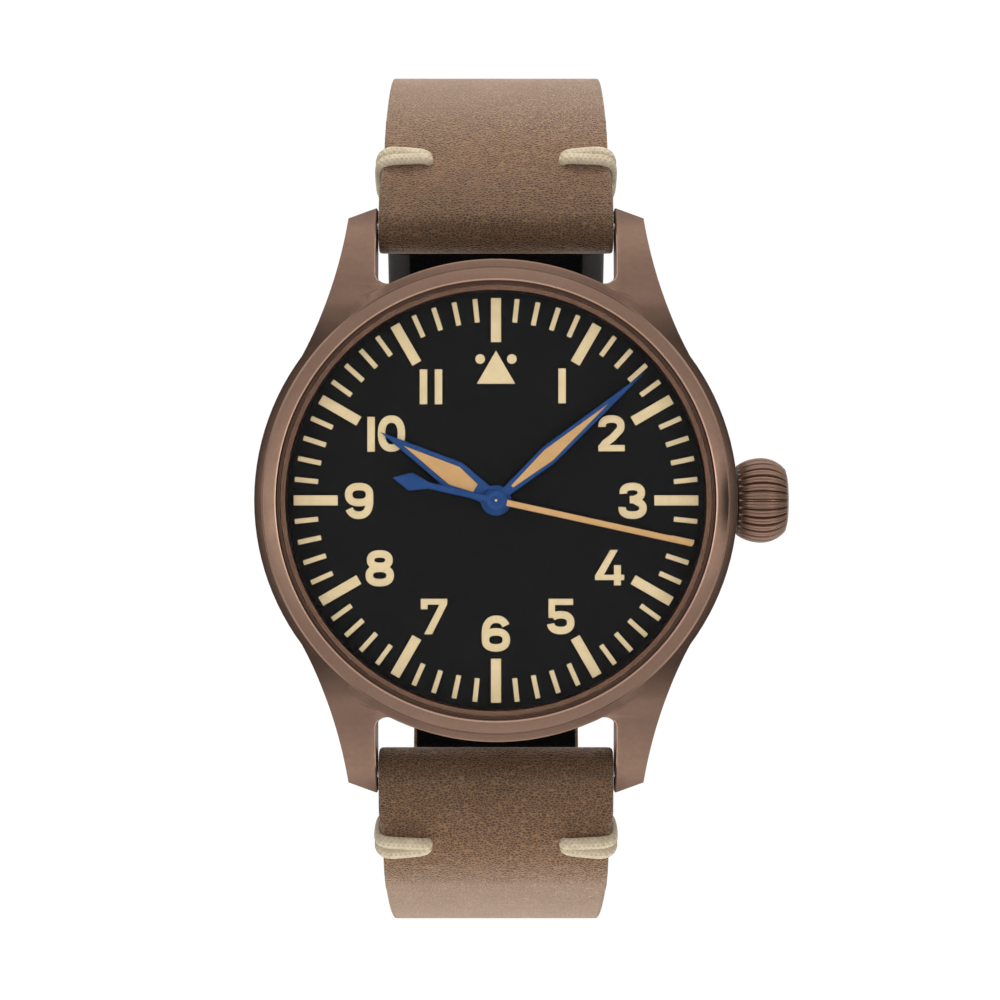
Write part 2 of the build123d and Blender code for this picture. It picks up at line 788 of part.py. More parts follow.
cock_foot_spot = (-9.2, 4.2)
cock_w = 2.6
cock_span = hypot(cock_foot_spot[0] - balance_spot[0], cock_foot_spot[1] - balance_spot[1])
cock_lean = degrees(atan2(cock_foot_spot[1] - balance_spot[1], cock_foot_spot[0] - balance_spot[0]))
cock_middle = (
    (cock_foot_spot[0] + balance_spot[0]) / 2,
    (cock_foot_spot[1] + balance_spot[1]) / 2,
)
with BuildPart() as balance_cock:
    with BuildSketch(Plane.XY.offset(bridge_z)):
        with Locations(Location((*cock_middle, 0), (0, 0, cock_lean))):
            SlotCenterToCenter(cock_span, cock_w)
    extrude(amount=bridge_t)
    ring(cock_foot_spot, bridge_top, train_h, cock_w / 2)
    jewel_seat(balance_spot)
balance_cock.part.label = "balance_cock"
export_step(balance_cock.part, "parts/balance_cock.step")

# Small bridge over the pallet fork, between it and the balance rim
pallet_bridge_z = balance_z + balance_rim_h + tooth_back
pallet_bridge_t = pallet_z - pallet_bridge_z - tooth_back
pallet_foot_y = 3.4
with BuildPart() as pallet_bridge:
    with BuildSketch(Plane.XY.offset(pallet_bridge_z)):
        with Locations((pallet_spot[0], pallet_spot[1] + pallet_foot_y / 2)):
            SlotCenterToCenter(pallet_foot_y, 2 * jewel_r, rotation=90)
    extrude(amount=pallet_bridge_t)
    ring(
        (pallet_spot[0], pallet_spot[1] + pallet_foot_y),
        pallet_bridge_z + pallet_bridge_t,
        plate_z - pallet_bridge_z - pallet_bridge_t,
        jewel_r,
    )
    ring(pallet_spot, pallet_bridge_z, pallet_bridge_t, pivot_r + fit, 0, Mode.SUBTRACT)
pallet_bridge.part.label = "pallet_bridge"
export_step(pallet_bridge.part, "parts/pallet_bridge.step")

# Pivot jewels pressed into the bridges and the main plate
with BuildPart() as train_jewels:
    for spot in (centre, third_spot, escape_spot, balance_spot):
        ring(spot, bridge_z, jewel_t, jewel_r, pivot_r + fit)
    for spot in (third_spot, escape_spot, balance_spot, pallet_spot):
        ring(spot, plate_z, jewel_t, jewel_r, pivot_r + fit)
train_jewels.part.label = "train_jewels"
export_step(train_jewels.part, "parts/train_jewels.step")

bridge_screw_spots = (
    polar(foot_ring_r + (bridge_r - foot_ring_r) / 2, -35),
    polar(foot_ring_r + (bridge_r - foot_ring_r) / 2, 40),
    polar(foot_ring_r + (bridge_r - foot_ring_r) / 2, 120),
    polar(foot_ring_r + (bridge_r - foot_ring_r) / 2, -100),
    polar(foot_ring_r + (bridge_r - foot_ring_r) / 2, -80),
    cock_foot_spot,
)
with BuildPart() as movement_screws:
    for spot in bridge_screw_spots:
        ring(spot, bridge_z - screw_head_t, screw_head_t, jewel_r)
        with BuildSketch(at(spot, bridge_z - screw_head_t)):
            Rectangle(2 * screw_head_r, screw_slot_w)
        extrude(amount=screw_head_t / 2, mode=Mode.SUBTRACT)
movement_screws.part.label = "movement_screws"
export_step(movement_screws.part, "parts/movement_screws.step")


def arbor(spot, from_z, to_z, radius=arbor_r):
    """A straight shaft with a fine pivot at each end."""
    ring(spot, from_z, to_z - from_z, radius)
    ring(spot, from_z - jewel_t, jewel_t, pivot_r)
    ring(spot, to_z, jewel_t, pivot_r)


def facing(from_spot, to_spot):
    """Direction from one centre to another, in degrees."""
    return degrees(atan2(to_spot[1] - from_spot[1], to_spot[0] - from_spot[0]))


# Barrel: toothed drum with its lid, mainspring and arbor
barrel_r, centre_pinion_r = mesh_radii(barrel_reach, barrel_teeth, centre_leaves)
drum_r = 4.65
drum_wall = 0.3
lid_t = 0.15
with BuildPart() as barrel:
    ring(barrel_spot, drum_z, drum_top - drum_z, drum_r)
    barrel_phase = facing(barrel_spot, centre) + 180 / barrel_teeth
    toothed(barrel_spot, barrel_tooth_z, barrel_tooth_t, barrel_teeth, barrel_r, barrel_phase)
    ring(barrel_spot, drum_z + lid_t, drum_top - drum_z - 2 * lid_t, drum_r - drum_wall, 0, Mode.SUBTRACT)
    ring(barrel_spot, drum_z, drum_top - drum_z, 2 * arbor_r + run_fit, 0, Mode.SUBTRACT)
barrel.part.label = "barrel"
export_step(barrel.part, "parts/barrel.step")


def spiral(spot, z, height, inner_r, outer_r, turns, band_t):
    """A flat spiral spring of half circles, each wider than the last by the same step."""
    step = (outer_r - inner_r) / (2 * turns - 1)
    with BuildSketch(at(spot, z)) as coil:
        with BuildLine():
            for offset in (-band_t / 2, band_t / 2):
                place = -inner_r
                for half in range(2 * turns):
                    way = -1 if half % 2 else 1
                    radius = inner_r + half * step
                    ThreePointArc(
                        (place - way * offset, 0),
                        (place + way * radius, way * (radius + offset)),
                        (place + way * (2 * radius + offset), 0),
                    )
                    place += way * 2 * radius
            Line((-inner_r - band_t / 2, 0), (-inner_r + band_t / 2, 0))
            Line((place - band_t / 2, 0), (place + band_t / 2, 0))
        make_face()
    extrude(coil.sketch, amount=height)


spring_band = 0.12
spring_turns = 4
with BuildPart() as mainspring:
    spiral(
        barrel_spot,
        drum_z + lid_t + fit,
        drum_top - drum_z - 2 * lid_t - 2 * fit,
        3 * arbor_r + spring_band,
        drum_r - drum_wall - 6 * spring_band,
        spring_turns,
        spring_band,
    )
mainspring.part.label = "mainspring"
export_step(mainspring.part, "parts/mainspring.step")

with BuildPart() as barrel_arbor:
    ring(barrel_spot, ratchet_z + ratchet_t, drum_z + lid_t + fit - ratchet_z - ratchet_t, 2 * arbor_r)
    ring(barrel_spot, drum_z + lid_t + fit, drum_top - drum_z - 2 * lid_t - 2 * fit, 3 * arbor_r)
    ring(barrel_spot, drum_top - lid_t - fit, lid_t + fit, 2 * arbor_r)
    ring(barrel_spot, drum_top, plate_z + 2 * jewel_t - drum_top, arbor_r)
barrel_arbor.part.label = "barrel_arbor"
export_step(barrel_arbor.part, "parts/barrel_arbor.step")

# Ratchet wheel and crown wheel, in their recesses under the barrel bridge
with BuildPart() as ratchet_wheel:
    ratchet_phase = facing(barrel_spot, crown_wheel_spot)
    toothed(barrel_spot, ratchet_z, ratchet_t, ratchet_teeth, ratchet_r * ratchet_ease_share, ratchet_phase)
ratchet_wheel.part.label = "ratchet_wheel"
export_step(ratchet_wheel.part, "parts/ratchet_wheel.step")

crown_wheel_phase = facing(crown_wheel_spot, barrel_spot) + 180 / crown_wheel_teeth
with BuildPart() as crown_wheel:
    toothed(
        crown_wheel_spot,
        ratchet_z,
        ratchet_t,
        crown_wheel_teeth,
        crown_wheel_r * crown_wheel_ease_share,
        crown_wheel_phase,
        inner_r=2 * arbor_r + run_fit,
    )
crown_wheel.part.label = "crown_wheel"
export_step(crown_wheel.part, "parts/crown_wheel.step")

# Click that holds the ratchet wheel, pressed in by a flat spring in the same pocket
click_plane = Plane(
    origin=(*click_spot, ratchet_z), x_dir=(*polar(1, click_angle - 90), 0), z_dir=(0, 0, 1)
)
with BuildPart() as click:
    with BuildSketch(click_plane):
        with Locations((click_len / 3, 0)):
            SlotOverall(click_len, click_w)
        Circle(arbor_r + run_fit, mode=Mode.SUBTRACT)
    extrude(amount=ratchet_t - tooth_back)
click.part.label = "click"
export_step(click.part, "parts/click.step")

with BuildPart() as click_spring:
    with BuildSketch(click_plane):
        with Locations((0, click_w / 2 + 2 * layer_gap)):
            Rectangle(2 * click_len, click_spring_w)
        with Locations((-click_len, click_w / 2)):
            Rectangle(3 * click_spring_w, click_w)
    extrude(amount=ratchet_t - tooth_back)
click_spring.part.label = "click_spring"
export_step(click_spring.part, "parts/click_spring.step")

# Centre wheel on its hollow arbor, and the cannon pinion that carries the minute hand
centre_r, third_pinion_r = mesh_radii(third_reach, centre_teeth, third_leaves)
third_r, seconds_pinion_r = mesh_radii(third_reach, third_teeth, seconds_leaves)
seconds_r, escape_pinion_r = mesh_radii(escape_reach, seconds_teeth, escape_leaves)
minute_wheel_r, cannon_pinion_r = mesh_radii(works_reach, minute_teeth, cannon_leaves)
hour_wheel_r, minute_pinion_r = mesh_radii(works_reach, hour_teeth, minute_leaves)
leaf_shares = (0.5, 0.2)
tube_bore = arbor_r + run_fit
arm_w = 0.28
with BuildPart() as centre_wheel:
    centre_phase = facing(centre, third_spot) + 180 / centre_teeth
    toothed(centre, centre_wheel_z, wheel_t, centre_teeth, centre_r, centre_phase)
    crossing(centre, centre_wheel_z, wheel_t, 3 * arbor_r, rim_share * centre_r, arm_w, wheel_arms)
    ring(centre, centre_pinion_z, works_z + jewel_t - centre_pinion_z, arbor_tube_r)
    leaf_phase = facing(centre, barrel_spot)
    toothed(centre, centre_pinion_z, centre_pinion_h, centre_leaves, centre_pinion_r, leaf_phase, leaf_shares)
    ring(centre, centre_pinion_z, works_z + jewel_t - centre_pinion_z, tube_bore, 0, Mode.SUBTRACT)
centre_wheel.part.label = "centre_wheel"
export_step(centre_wheel.part, "parts/centre_wheel.step")

cannon_tooth_z = works_z + layer_gap
cannon_tooth_h = 0.3
works_wheel_z = cannon_tooth_z + tooth_back
works_wheel_t = 0.2
hour_wheel_z = cannon_tooth_z + cannon_tooth_h + tooth_back
with BuildPart() as cannon_pinion:
    ring(centre, cannon_tooth_z, minute_hand_z + hand_t - cannon_tooth_z, cannon_r - fit)
    cannon_phase = facing(centre, works_spot)
    toothed(centre, cannon_tooth_z, cannon_tooth_h, cannon_leaves, cannon_pinion_r, cannon_phase, leaf_shares)
    ring(centre, cannon_tooth_z, minute_hand_z + hand_t - cannon_tooth_z, tube_bore, 0, Mode.SUBTRACT)
    cannon_bore_h = works_z + jewel_t + fit - cannon_tooth_z
    ring(centre, cannon_tooth_z, cannon_bore_h, arbor_tube_r + fit, 0, Mode.SUBTRACT)
cannon_pinion.part.label = "cannon_pinion"
export_step(cannon_pinion.part, "parts/cannon_pinion.step")

with BuildPart() as minute_wheel:
    minute_phase = facing(works_spot, centre) + 180 / minute_teeth
    toothed(works_spot, works_wheel_z, works_wheel_t, minute_teeth, minute_wheel_r, minute_phase)
    toothed(
        works_spot,
        works_wheel_z + works_wheel_t,
        hour_wheel_z + works_wheel_t + tooth_back - works_wheel_z - works_wheel_t,
        minute_leaves,
        minute_pinion_r,
        facing(works_spot, centre),
        leaf_shares,
    )
    ring(works_spot, works_wheel_z, works_depth, works_pin_r + run_fit, 0, Mode.SUBTRACT)
minute_wheel.part.label = "minute_wheel"
export_step(minute_wheel.part, "parts/minute_wheel.step")

with BuildPart() as hour_wheel:
    hour_phase = facing(centre, works_spot) + 180 / hour_teeth
    toothed(centre, hour_wheel_z, works_wheel_t, hour_teeth, hour_wheel_r, hour_phase)
    ring(centre, hour_wheel_z, hour_hand_z + hand_t - hour_wheel_z, hour_pipe_r - fit)
    ring(centre, hour_wheel_z, hour_hand_z + hand_t - hour_wheel_z, cannon_r + run_fit, 0, Mode.SUBTRACT)
hour_wheel.part.label = "hour_wheel"
export_step(hour_wheel.part, "parts/hour_wheel.step")

with BuildPart() as third_wheel:
    third_phase = facing(third_spot, centre) + 180 / third_teeth
    toothed(third_spot, third_wheel_z, wheel_t, third_teeth, third_r, third_phase)
    crossing(third_spot, third_wheel_z, wheel_t, 3 * arbor_r, rim_share * third_r, arm_w, wheel_arms)
    arbor(third_spot, bridge_top - layer_gap, plate_z)
    toothed(
        third_spot,
        centre_wheel_z - tooth_back,
        wheel_t + 2 * tooth_back,
        third_leaves,
        third_pinion_r,
        facing(third_spot, centre),
        leaf_shares,
    )
third_wheel.part.label = "third_wheel"
export_step(third_wheel.part, "parts/third_wheel.step")

with BuildPart() as seconds_wheel:
    seconds_phase = facing(centre, escape_spot) + 180 / seconds_teeth
    toothed(centre, seconds_wheel_z, wheel_t, seconds_teeth, seconds_r, seconds_phase)
    crossing(centre, seconds_wheel_z, wheel_t, 3 * arbor_r, rim_share * seconds_r, arm_w, wheel_arms)
    seconds_leaf_phase = facing(centre, third_spot)
    toothed(
        centre,
        seconds_pinion_z,
        seconds_pinion_h,
        seconds_leaves,
        seconds_pinion_r,
        seconds_leaf_phase,
        leaf_shares,
    )
    ring(centre, bridge_z, bridge_t, pivot_r)
    ring(centre, bridge_top, seconds_hand_top - bridge_top, arbor_r - fit / 3)
seconds_wheel.part.label = "seconds_wheel"
export_step(seconds_wheel.part, "parts/seconds_wheel.step")

with BuildPart() as escape_wheel:
    arbor(escape_spot, bridge_top - layer_gap, plate_z)
    toothed(
        escape_spot,
        seconds_wheel_z - tooth_back,
        wheel_t + 2 * tooth_back,
        escape_leaves,
        escape_pinion_r,
        facing(escape_spot, centre),
        leaf_shares,
    )
    with BuildSketch(at(escape_spot, escape_wheel_z)):
        with BuildLine():
            Polyline(
                *[
                    polar(escape_r * reach, 360 / escape_teeth * (tooth + turn))
                    for tooth in range(escape_teeth)
                    for reach, turn in ((tooth_foot_share, 0), (1, 0.45), (1, 0.55), (tooth_foot_share, 0.5))
                ],
                close=True,
            )
        make_face()
    extrude(amount=wheel_t)
    escape_rim_r = escape_rim_share * escape_r
    crossing(escape_spot, escape_wheel_z, wheel_t, 2 * arbor_r, escape_rim_r, arm_w, escape_arms)
escape_wheel.part.label = "escape_wheel"
export_step(escape_wheel.part, "parts/escape_wheel.step")

# Pallet fork: two pallet stones just clear of the escape wheel's path, and a forked lever
fork_span = 1.75
fork_arm_w = 0.3
fork_slot_w = 0.3
fork_half_arm = 1.5
with BuildPart() as pallet_fork:
    away = facing(escape_spot, balance_spot)
    with BuildSketch(Plane(origin=(*pallet_spot, pallet_z), x_dir=(*polar(1, away), 0), z_dir=(0, 0, 1))):
        Rectangle(fork_span, fork_arm_w, align=(Align.MIN, Align.CENTER))
        with Locations((fork_span, 0)):
            Rectangle(fork_slot_w, 3 * fork_slot_w)
        with Locations((fork_span + fork_slot_w / 2, 0)):
            Rectangle(fork_slot_w, fork_slot_w, mode=Mode.SUBTRACT)
        Rectangle(fork_arm_w, 2 * fork_half_arm)
        with Locations((0, fork_half_arm), (0, -fork_half_arm)):
            Rectangle(2 * fork_arm_w, fork_arm_w, align=(Align.MAX, Align.CENTER))
        Circle(2 * arbor_r)
    extrude(amount=pallet_t)
    ring(pallet_spot, pallet_bridge_z, plate_z + jewel_t - pallet_bridge_z, pivot_r)
pallet_fork.part.label = "pallet_fork"
export_step(pallet_fork.part, "parts/pallet_fork.step")

# Balance with its staff and roller, and the hairspring pinned to the cock
staff_r = 0.2
collet_r = 0.4
with BuildPart() as balance_wheel:
    ring(balance_spot, balance_z, balance_rim_h, balance_r, balance_r - balance_rim_w)
    with BuildSketch(at(balance_spot, balance_z)):
        with PolarLocations(0, 3):
            Rectangle(balance_r - balance_rim_w / 2, 2 * arm_w, align=(Align.MIN, Align.CENTER))
    extrude(amount=balance_rim_h / 2)
    arbor(balance_spot, bridge_top - layer_gap, plate_z, staff_r)
    ring(balance_spot, pallet_z + pallet_t + tooth_back, 2 * pallet_t, 3 * staff_r)
balance_wheel.part.label = "balance_wheel"
export_step(balance_wheel.part, "parts/balance_wheel.step")

hairspring_t = 0.06
hairspring_h = 0.12
hairspring_r = 2.1
with BuildPart() as hairspring:
    spring_z = bridge_top + tooth_back
    spiral(balance_spot, spring_z, hairspring_h, collet_r, hairspring_r, spring_turns, hairspring_t)
hairspring.part.label = "hairspring"
export_step(hairspring.part, "parts/hairspring.step")

# Movement ring between the movement and the case, and the clamps that hold it
stem_way_r = stem_r + 3 * layer_gap
with BuildPart() as movement_ring:
    spacer_z = plate_z - spacer_wall_h / 2
    ring(centre, spacer_z, dial_z - spacer_z, bore_r - fit, movement_r + fit)
    with BuildSketch(Plane.YZ):
        with Locations((0, stem_z)):
            Circle(stem_way_r)
    extrude(amount=case_r, mode=Mode.SUBTRACT)
movement_ring.part.label = "movement_ring"
export_step(movement_ring.part, "parts/movement_ring.step")

# Crown tube pressed into the case
with BuildPart() as crown_tube:
    with BuildSketch(Plane.YZ.offset(tube_in_x)):
        with Locations((0, stem_z)):
            Circle(tube_r)
            Circle(tube_bore_r, mode=Mode.SUBTRACT)
    extrude(amount=tube_out_x - tube_in_x)
    with BuildSketch():
        Circle(bore_r)
    extrude(amount=dial_top, mode=Mode.SUBTRACT)
crown_tube.part.label = "crown_tube"
export_step(crown_tube.part, "parts/crown_tube.step")


def stem_plane(x):
    """A plane across the stem's axis, at x."""
    return Plane(origin=(x, 0, stem_z), x_dir=(0, 1, 0), z_dir=(1, 0, 0))


# Keyless work on the stem's axis: winding pinion and sliding clutch
with BuildPart() as winding_pinion:
    with BuildSketch(stem_plane(pinion_x)):
        with BuildLine():
            pinion_root_r = pinion_root_share * pinion_r
            Polyline(*tooth_points(pinion_teeth, pinion_root_r, pinion_r, *pinion_shares, 15), close=True)
        make_face()
        Circle(stem_r + run_fit, mode=Mode.SUBTRACT)
    extrude(amount=pinion_w)
winding_pinion.part.label = "winding_pinion"
export_step(winding_pinion.part, "parts/winding_pinion.step")

clutch_x = pinion_x + pinion_w + layer_gap
with BuildPart() as clutch:
    with BuildSketch(stem_plane(clutch_x)):
        Circle(clutch_r)
        Rectangle(stem_square + 2 * fit, stem_square + 2 * fit, mode=Mode.SUBTRACT)
    extrude(amount=clutch_w)
    with BuildSketch(stem_plane(clutch_x + clutch_w / 2)):
        Circle(clutch_r + cut_over)
        Circle(clutch_waist_share * clutch_r, mode=Mode.SUBTRACT)
    extrude(amount=clutch_w / 4, mode=Mode.SUBTRACT)
clutch.part.label = "clutch"
export_step(clutch.part, "parts/clutch.step")

crown_hub_x = crown_x + crown_bore_len
with BuildPart() as winding_stem:
    with BuildSketch(stem_plane(stem_end_x)):
        Circle(stem_square / 2)
    extrude(amount=clutch_x - layer_gap / 2 - stem_end_x)
    with BuildSketch(stem_plane(clutch_x - layer_gap / 2)):
        Rectangle(stem_square, stem_square)
    extrude(amount=clutch_w + 14 * layer_gap)
    with BuildSketch(stem_plane(clutch_x + clutch_w + 13 * layer_gap)):
        Circle(stem_r)
    extrude(amount=crown_hub_x - clutch_x - clutch_w - 13 * layer_gap)
winding_stem.part.label = "winding_stem"
export_step(winding_stem.part, "parts/winding_stem.step")

# Barrel-shaped crown with flutes that follow its curve
belly_x = crown_x + crown_belly_share * crown_len
with BuildPart() as crown:
    with BuildSketch(Plane(origin=(crown_x, 0, stem_z), x_dir=(1, 0, 0), z_dir=(0, -1, 0))):
        with BuildLine():
            Polyline((crown_len, 0), (0, 0), (0, crown_base_r))
            ThreePointArc(
                (0, crown_base_r),
                (crown_belly_share * crown_len, crown_r),
                (crown_len - crown_end_dome, crown_end_r),
            )
            Polyline(
                (crown_len - crown_end_dome, crown_end_r),
                (crown_len - crown_end_dome / 4, crown_dome_share * crown_end_r),
                (crown_len, crown_flat_share * crown_end_r),
                (crown_len, 0),
            )
        make_face()
    revolve(axis=Axis((crown_x, 0, stem_z), (1, 0, 0)))
    arc_rise = crown_r - crown_base_r
    arc_half = crown_belly_share * crown_len
    belly_bend_r = (arc_rise**2 + arc_half**2) / (2 * arc_rise)
    flute_axis_r = crown_r - belly_bend_r
    flute_swing = flute_run_share * degrees(asin(arc_half / belly_bend_r))
    for flute in range(flute_count):
        around = 360 / flute_count * flute
        out = (0, cos(radians(around)), sin(radians(around)))
        side = (0, -sin(radians(around)), cos(radians(around)))
        spine = Plane(
            origin=(belly_x, out[1] * flute_axis_r, stem_z + out[2] * flute_axis_r),
            x_dir=out,
            z_dir=(-1, 0, 0),
        )
        with BuildSketch(spine.rotated((0, flute_swing, 0))):
            with BuildLine():
                Polyline(
                    (belly_bend_r - flute_depth, 0),
                    (belly_bend_r + flute_depth, -2 * flute_depth),
                    (belly_bend_r + flute_depth, 2 * flute_depth),
                    close=True,
                )
            make_face()
        revolve(
            axis=Axis(spine.origin, side),
            revolution_arc=2 * flute_swing,
            mode=Mode.SUBTRACT,
        )
    with BuildSketch(stem_plane(crown_x)):
        Circle(crown_bore_r)
    extrude(amount=crown_bore_len, mode=Mode.SUBTRACT)
crown.part.label = "crown"
export_step(crown.part, "parts/crown.step")

with BuildPart() as crown_gasket:
    with BuildSketch(stem_plane(crown_x + edge_break)):
        Circle(crown_bore_r)
        Circle(tube_r + run_fit, mode=Mode.SUBTRACT)
    extrude(amount=3 * gasket_w)
crown_gasket.part.label = "crown_gasket"
export_step(crown_gasket.part, "parts/crown_gasket.step")


# Strap paths are tangent arcs in the side plane, one after the other. Each arc is its
# centre, its radius and the headings, in degrees below level, where it starts and ends.
def follow(arcs, radius, heading):
    """Adds the arc that carries on from the last one."""
    (y, z), last_r, _, turn = arcs[-1]
    shift = last_r - radius
    middle = (y + shift * sin(radians(turn)), z + shift * cos(radians(turn)))
    arcs.append((middle, radius, turn, heading))


def arc_point(arc, heading, depth=0):
    """A point of an arc, set in by depth towards the wrist."""
    (y, z), radius, _, _ = arc
    reach = radius - depth
    return (y + reach * sin(radians(heading)), z + reach * cos(radians(heading)))


def path_point(arcs, distance, depth=0):
    """Place and heading at a distance along the outside of a strap."""
    for index, arc in enumerate(arcs):
        _, radius, turn, heading = arc
        length = radius * radians(heading - turn)
        if index:
            before = arc_point(arcs[index - 1], arcs[index - 1][3])
            after = arc_point(arc, turn)
            gap = hypot(after[0] - before[0], after[1] - before[1])
            if distance < gap:
                place = arc_point(arcs[index - 1], turn, depth)
                return (
                    place[0] + distance * cos(radians(turn)),
                    place[1] - distance * sin(radians(turn)),
                ), turn
            distance -= gap
        if distance <= length or index == len(arcs) - 1:
            angle = turn + degrees(distance / radius)
            return arc_point(arc, angle, depth), angle
        distance -= length


def path_length(arcs):
    """Length along the outside of a strap path, its straight runs included."""
    length = 0
    for index, arc in enumerate(arcs):
        _, radius, turn, heading = arc
        if index:
            before = arc_point(arcs[index - 1], arcs[index - 1][3])
            after = arc_point(arc, turn)
            length += hypot(after[0] - before[0], after[1] - before[1])
        length += radius * radians(heading - turn)
    return length


def flip(point, side):
    """A side-plane point on the 12 side, or mirrored to the 6 side."""
    return (side * point[0], point[1])


def band(arcs, near, far, side):
    """Outline of a layer of strap between two depths, in the sketch being built."""
    with BuildLine() as outline:
        ends = []
        for depth in (near, far):
            last = None
            for arc in arcs:
                _, _, turn, heading = arc
                first = flip(arc_point(arc, turn, depth), side)
                final = flip(arc_point(arc, heading, depth), side)
                if last and hypot(first[0] - last[0], first[1] - last[1]) > fit / 3:
                    Line(last, first)
                elif not last:
                    ends.append(first)
                ThreePointArc(first, flip(arc_point(arc, (turn + heading) / 2, depth), side), final)
                last = final
            ends.append(last)
        Line(ends[0], ends[2])
        Line(ends[1], ends[3])
    make_face(outline.edges())


fold = ((spring_bar_y, spring_bar_z), strap_fold_r, 0)
short_arcs = [(*fold, short_leave)]
follow(short_arcs, neck_bend_r, short_neck)
follow(short_arcs, short_shoulder_r, short_shoulder)
follow(short_arcs, short_side_r, 90)
follow(short_arcs, wrist_r, 180 - short_bar_tilt)
wrist_spot = short_arcs[-1][0]

strap_t = leather_t + lining_t
tail_r = wrist_r + strap_lay + strap_t
long_arcs = [(*fold, long_leave)]
follow(long_arcs, long_neck_r, long_neck)
follow(long_arcs, long_shoulder_r, long_shoulder)
follow(long_arcs, long_side_r, 90)
follow(long_arcs, long_rear_r, 180)
rear_spot = long_arcs[-1][0]
apart = (-wrist_spot[0] - rear_spot[0], wrist_spot[1] - rear_spot[1])
tangent_heading = (
    360
    - degrees(asin((tail_r - long_rear_r) / hypot(*apart)))
    - degrees(atan2(apart[1], apart[0]))
)
long_arcs[-1] = (rear_spot, long_rear_r, 90, tangent_heading)
long_arcs.append(((-wrist_spot[0], wrist_spot[1]), tail_r, tangent_heading, 180 + tail_tilt))


def strap_blank(arcs, near, far, side, inset=0):
    """A layer of strap at full width, before its edges are shaped."""
    with BuildSketch(Plane.YZ) as layer:
        band(arcs, near, far, side)
    extrude(layer.sketch, amount=strap_w / 2 - inset, both=True)


def trim_head(side, inset=0):
    """Shapes the part of a strap seen from the front: pinched at the stitches."""
    edge = [
        (strap_w / 2 - inset, side * (spring_bar_y - 2 * strap_fold_r)),
        (strap_w / 2 - inset, side * (spring_bar_y + pinch_from)),
        (pinch_w / 2 - inset, side * (spring_bar_y + pinch_from + pinch_lead)),
        (pinch_w / 2 - inset, side * (spring_bar_y + pinch_from + pinch_lead + cord_d + 2 * cord_gap)),
        (side_w / 2 - inset, side * (spring_bar_y + side_from)),
    ]
    with BuildSketch(Plane.XY.offset(-wrist_r)) as plan:
        with BuildLine():
            Polyline(*edge, *[(-x, y) for x, y in reversed(edge)], close=True)
        make_face()
    extrude(plan.sketch, amount=2 * wrist_r, mode=Mode.INTERSECT)


def rear_outline(top_z, end_w, inset=0):
    """Trims the lower run of a strap to its taper, seen from the front."""
    low_z = wrist_spot[1] - wrist_r - 3 * strap_t
    taper_z = wrist_spot[1] - taper_share * wrist_r
    with BuildSketch(Plane.XZ) as front:
        with BuildLine():
            Polyline(
                (side_w / 2 - inset, top_z + fit),
                (end_w / 2 - inset, taper_z),
                (end_w / 2 - inset, low_z),
                (-end_w / 2 + inset, low_z),
                (-end_w / 2 + inset, taper_z),
                (-side_w / 2 + inset, top_z + fit),
                close=True,
            )
        make_face()
    extrude(front.sketch, amount=2 * wrist_r, both=True, mode=Mode.INTERSECT)


def trimmed_arcs(arcs, from_length, to_length):
    """The stretch of a strap path between two distances along it."""
    kept = []
    walked = 0
    last_end = None
    for arc in arcs:
        middle, radius, turn, heading = arc
        begin = arc_point(arc, turn)
        if last_end:
            walked += hypot(begin[0] - last_end[0], begin[1] - last_end[1])
        length = radius * radians(heading - turn)
        start_at = max(from_length, walked)
        stop_at = min(to_length, walked + length)
        if stop_at > start_at:
            kept.append(
                (
                    middle,
                    radius,
                    turn + degrees((start_at - walked) / radius),
                    turn + degrees((stop_at - walked) / radius),
                )
            )
        walked += length
        last_end = arc_point(arc, heading)
    return kept


def strap_head(arcs, side):
    """The front run: folded round the spring bar, with the flap sewn down behind."""
    fold_len = arcs[0][1] * radians(arcs[0][3])
    with BuildPart(mode=Mode.PRIVATE) as head:
        with BuildSketch(Plane.YZ):
            with Locations((side * spring_bar_y, spring_bar_z)):
                Circle(strap_fold_r)
        extrude(amount=strap_w / 2, both=True)
        strap_blank(arcs[1:4], 0, leather_t, side)
        strap_blank(trimmed_arcs(arcs, fold_len, fold_len + flap_len), leather_t, 2 * strap_fold_r, side)
        trim_head(side)
        with BuildSketch(Plane.YZ):
            with Locations((side * spring_bar_y, spring_bar_z)):
                Circle(spring_bar_r + fit)
        extrude(amount=strap_w, both=True, mode=Mode.SUBTRACT)
    return head.part


def strap_rear(arcs, side, near, far, end_w, inset=0):
    """The run below the widest point of the loop, tapering to its end."""
    with BuildPart(mode=Mode.PRIVATE) as rear:
        strap_blank(arcs[4:], near, far, side)
        rear_outline(arcs[4][0][1], end_w, inset)
    return rear.part


def lining_piece(arcs, side, end_w, stop):
    """The lining, from the end of the flap to where the strap ends."""
    fold_len = arcs[0][1] * radians(arcs[0][3])
    front = trimmed_arcs(arcs[:4], fold_len + flap_len + fit, 4 * wrist_r)
    with BuildPart(mode=Mode.PRIVATE) as upper:
        strap_blank(front, leather_t, strap_t, side)
        trim_head(side, lining_inset)
    with BuildPart(mode=Mode.PRIVATE) as lower:
        strap_blank([*arcs[4:-1], (*arcs[-1][:3], stop)], leather_t, strap_t, side)
        rear_outline(arcs[4][0][1], end_w, lining_inset)
    return upper.part, lower.part


# Stitch cords wind twice round each edge of the strap, through a hole in the leather
stitch_pitch = cord_d + cord_gap


def stitch_plane(arcs, side, depth, x=0):
    """A plane square to the strap at the stitches, its X along the strap and Z out of it."""
    place, heading = path_point(arcs, arcs[0][1] * radians(arcs[0][3]) + cord_along, depth)
    run = (0, side * cos(radians(heading)), -sin(radians(heading)))
    out = (0, side * sin(radians(heading)), cos(radians(heading)))
    return Plane(origin=(x, side * place[0], place[1]), x_dir=run, z_dir=out)


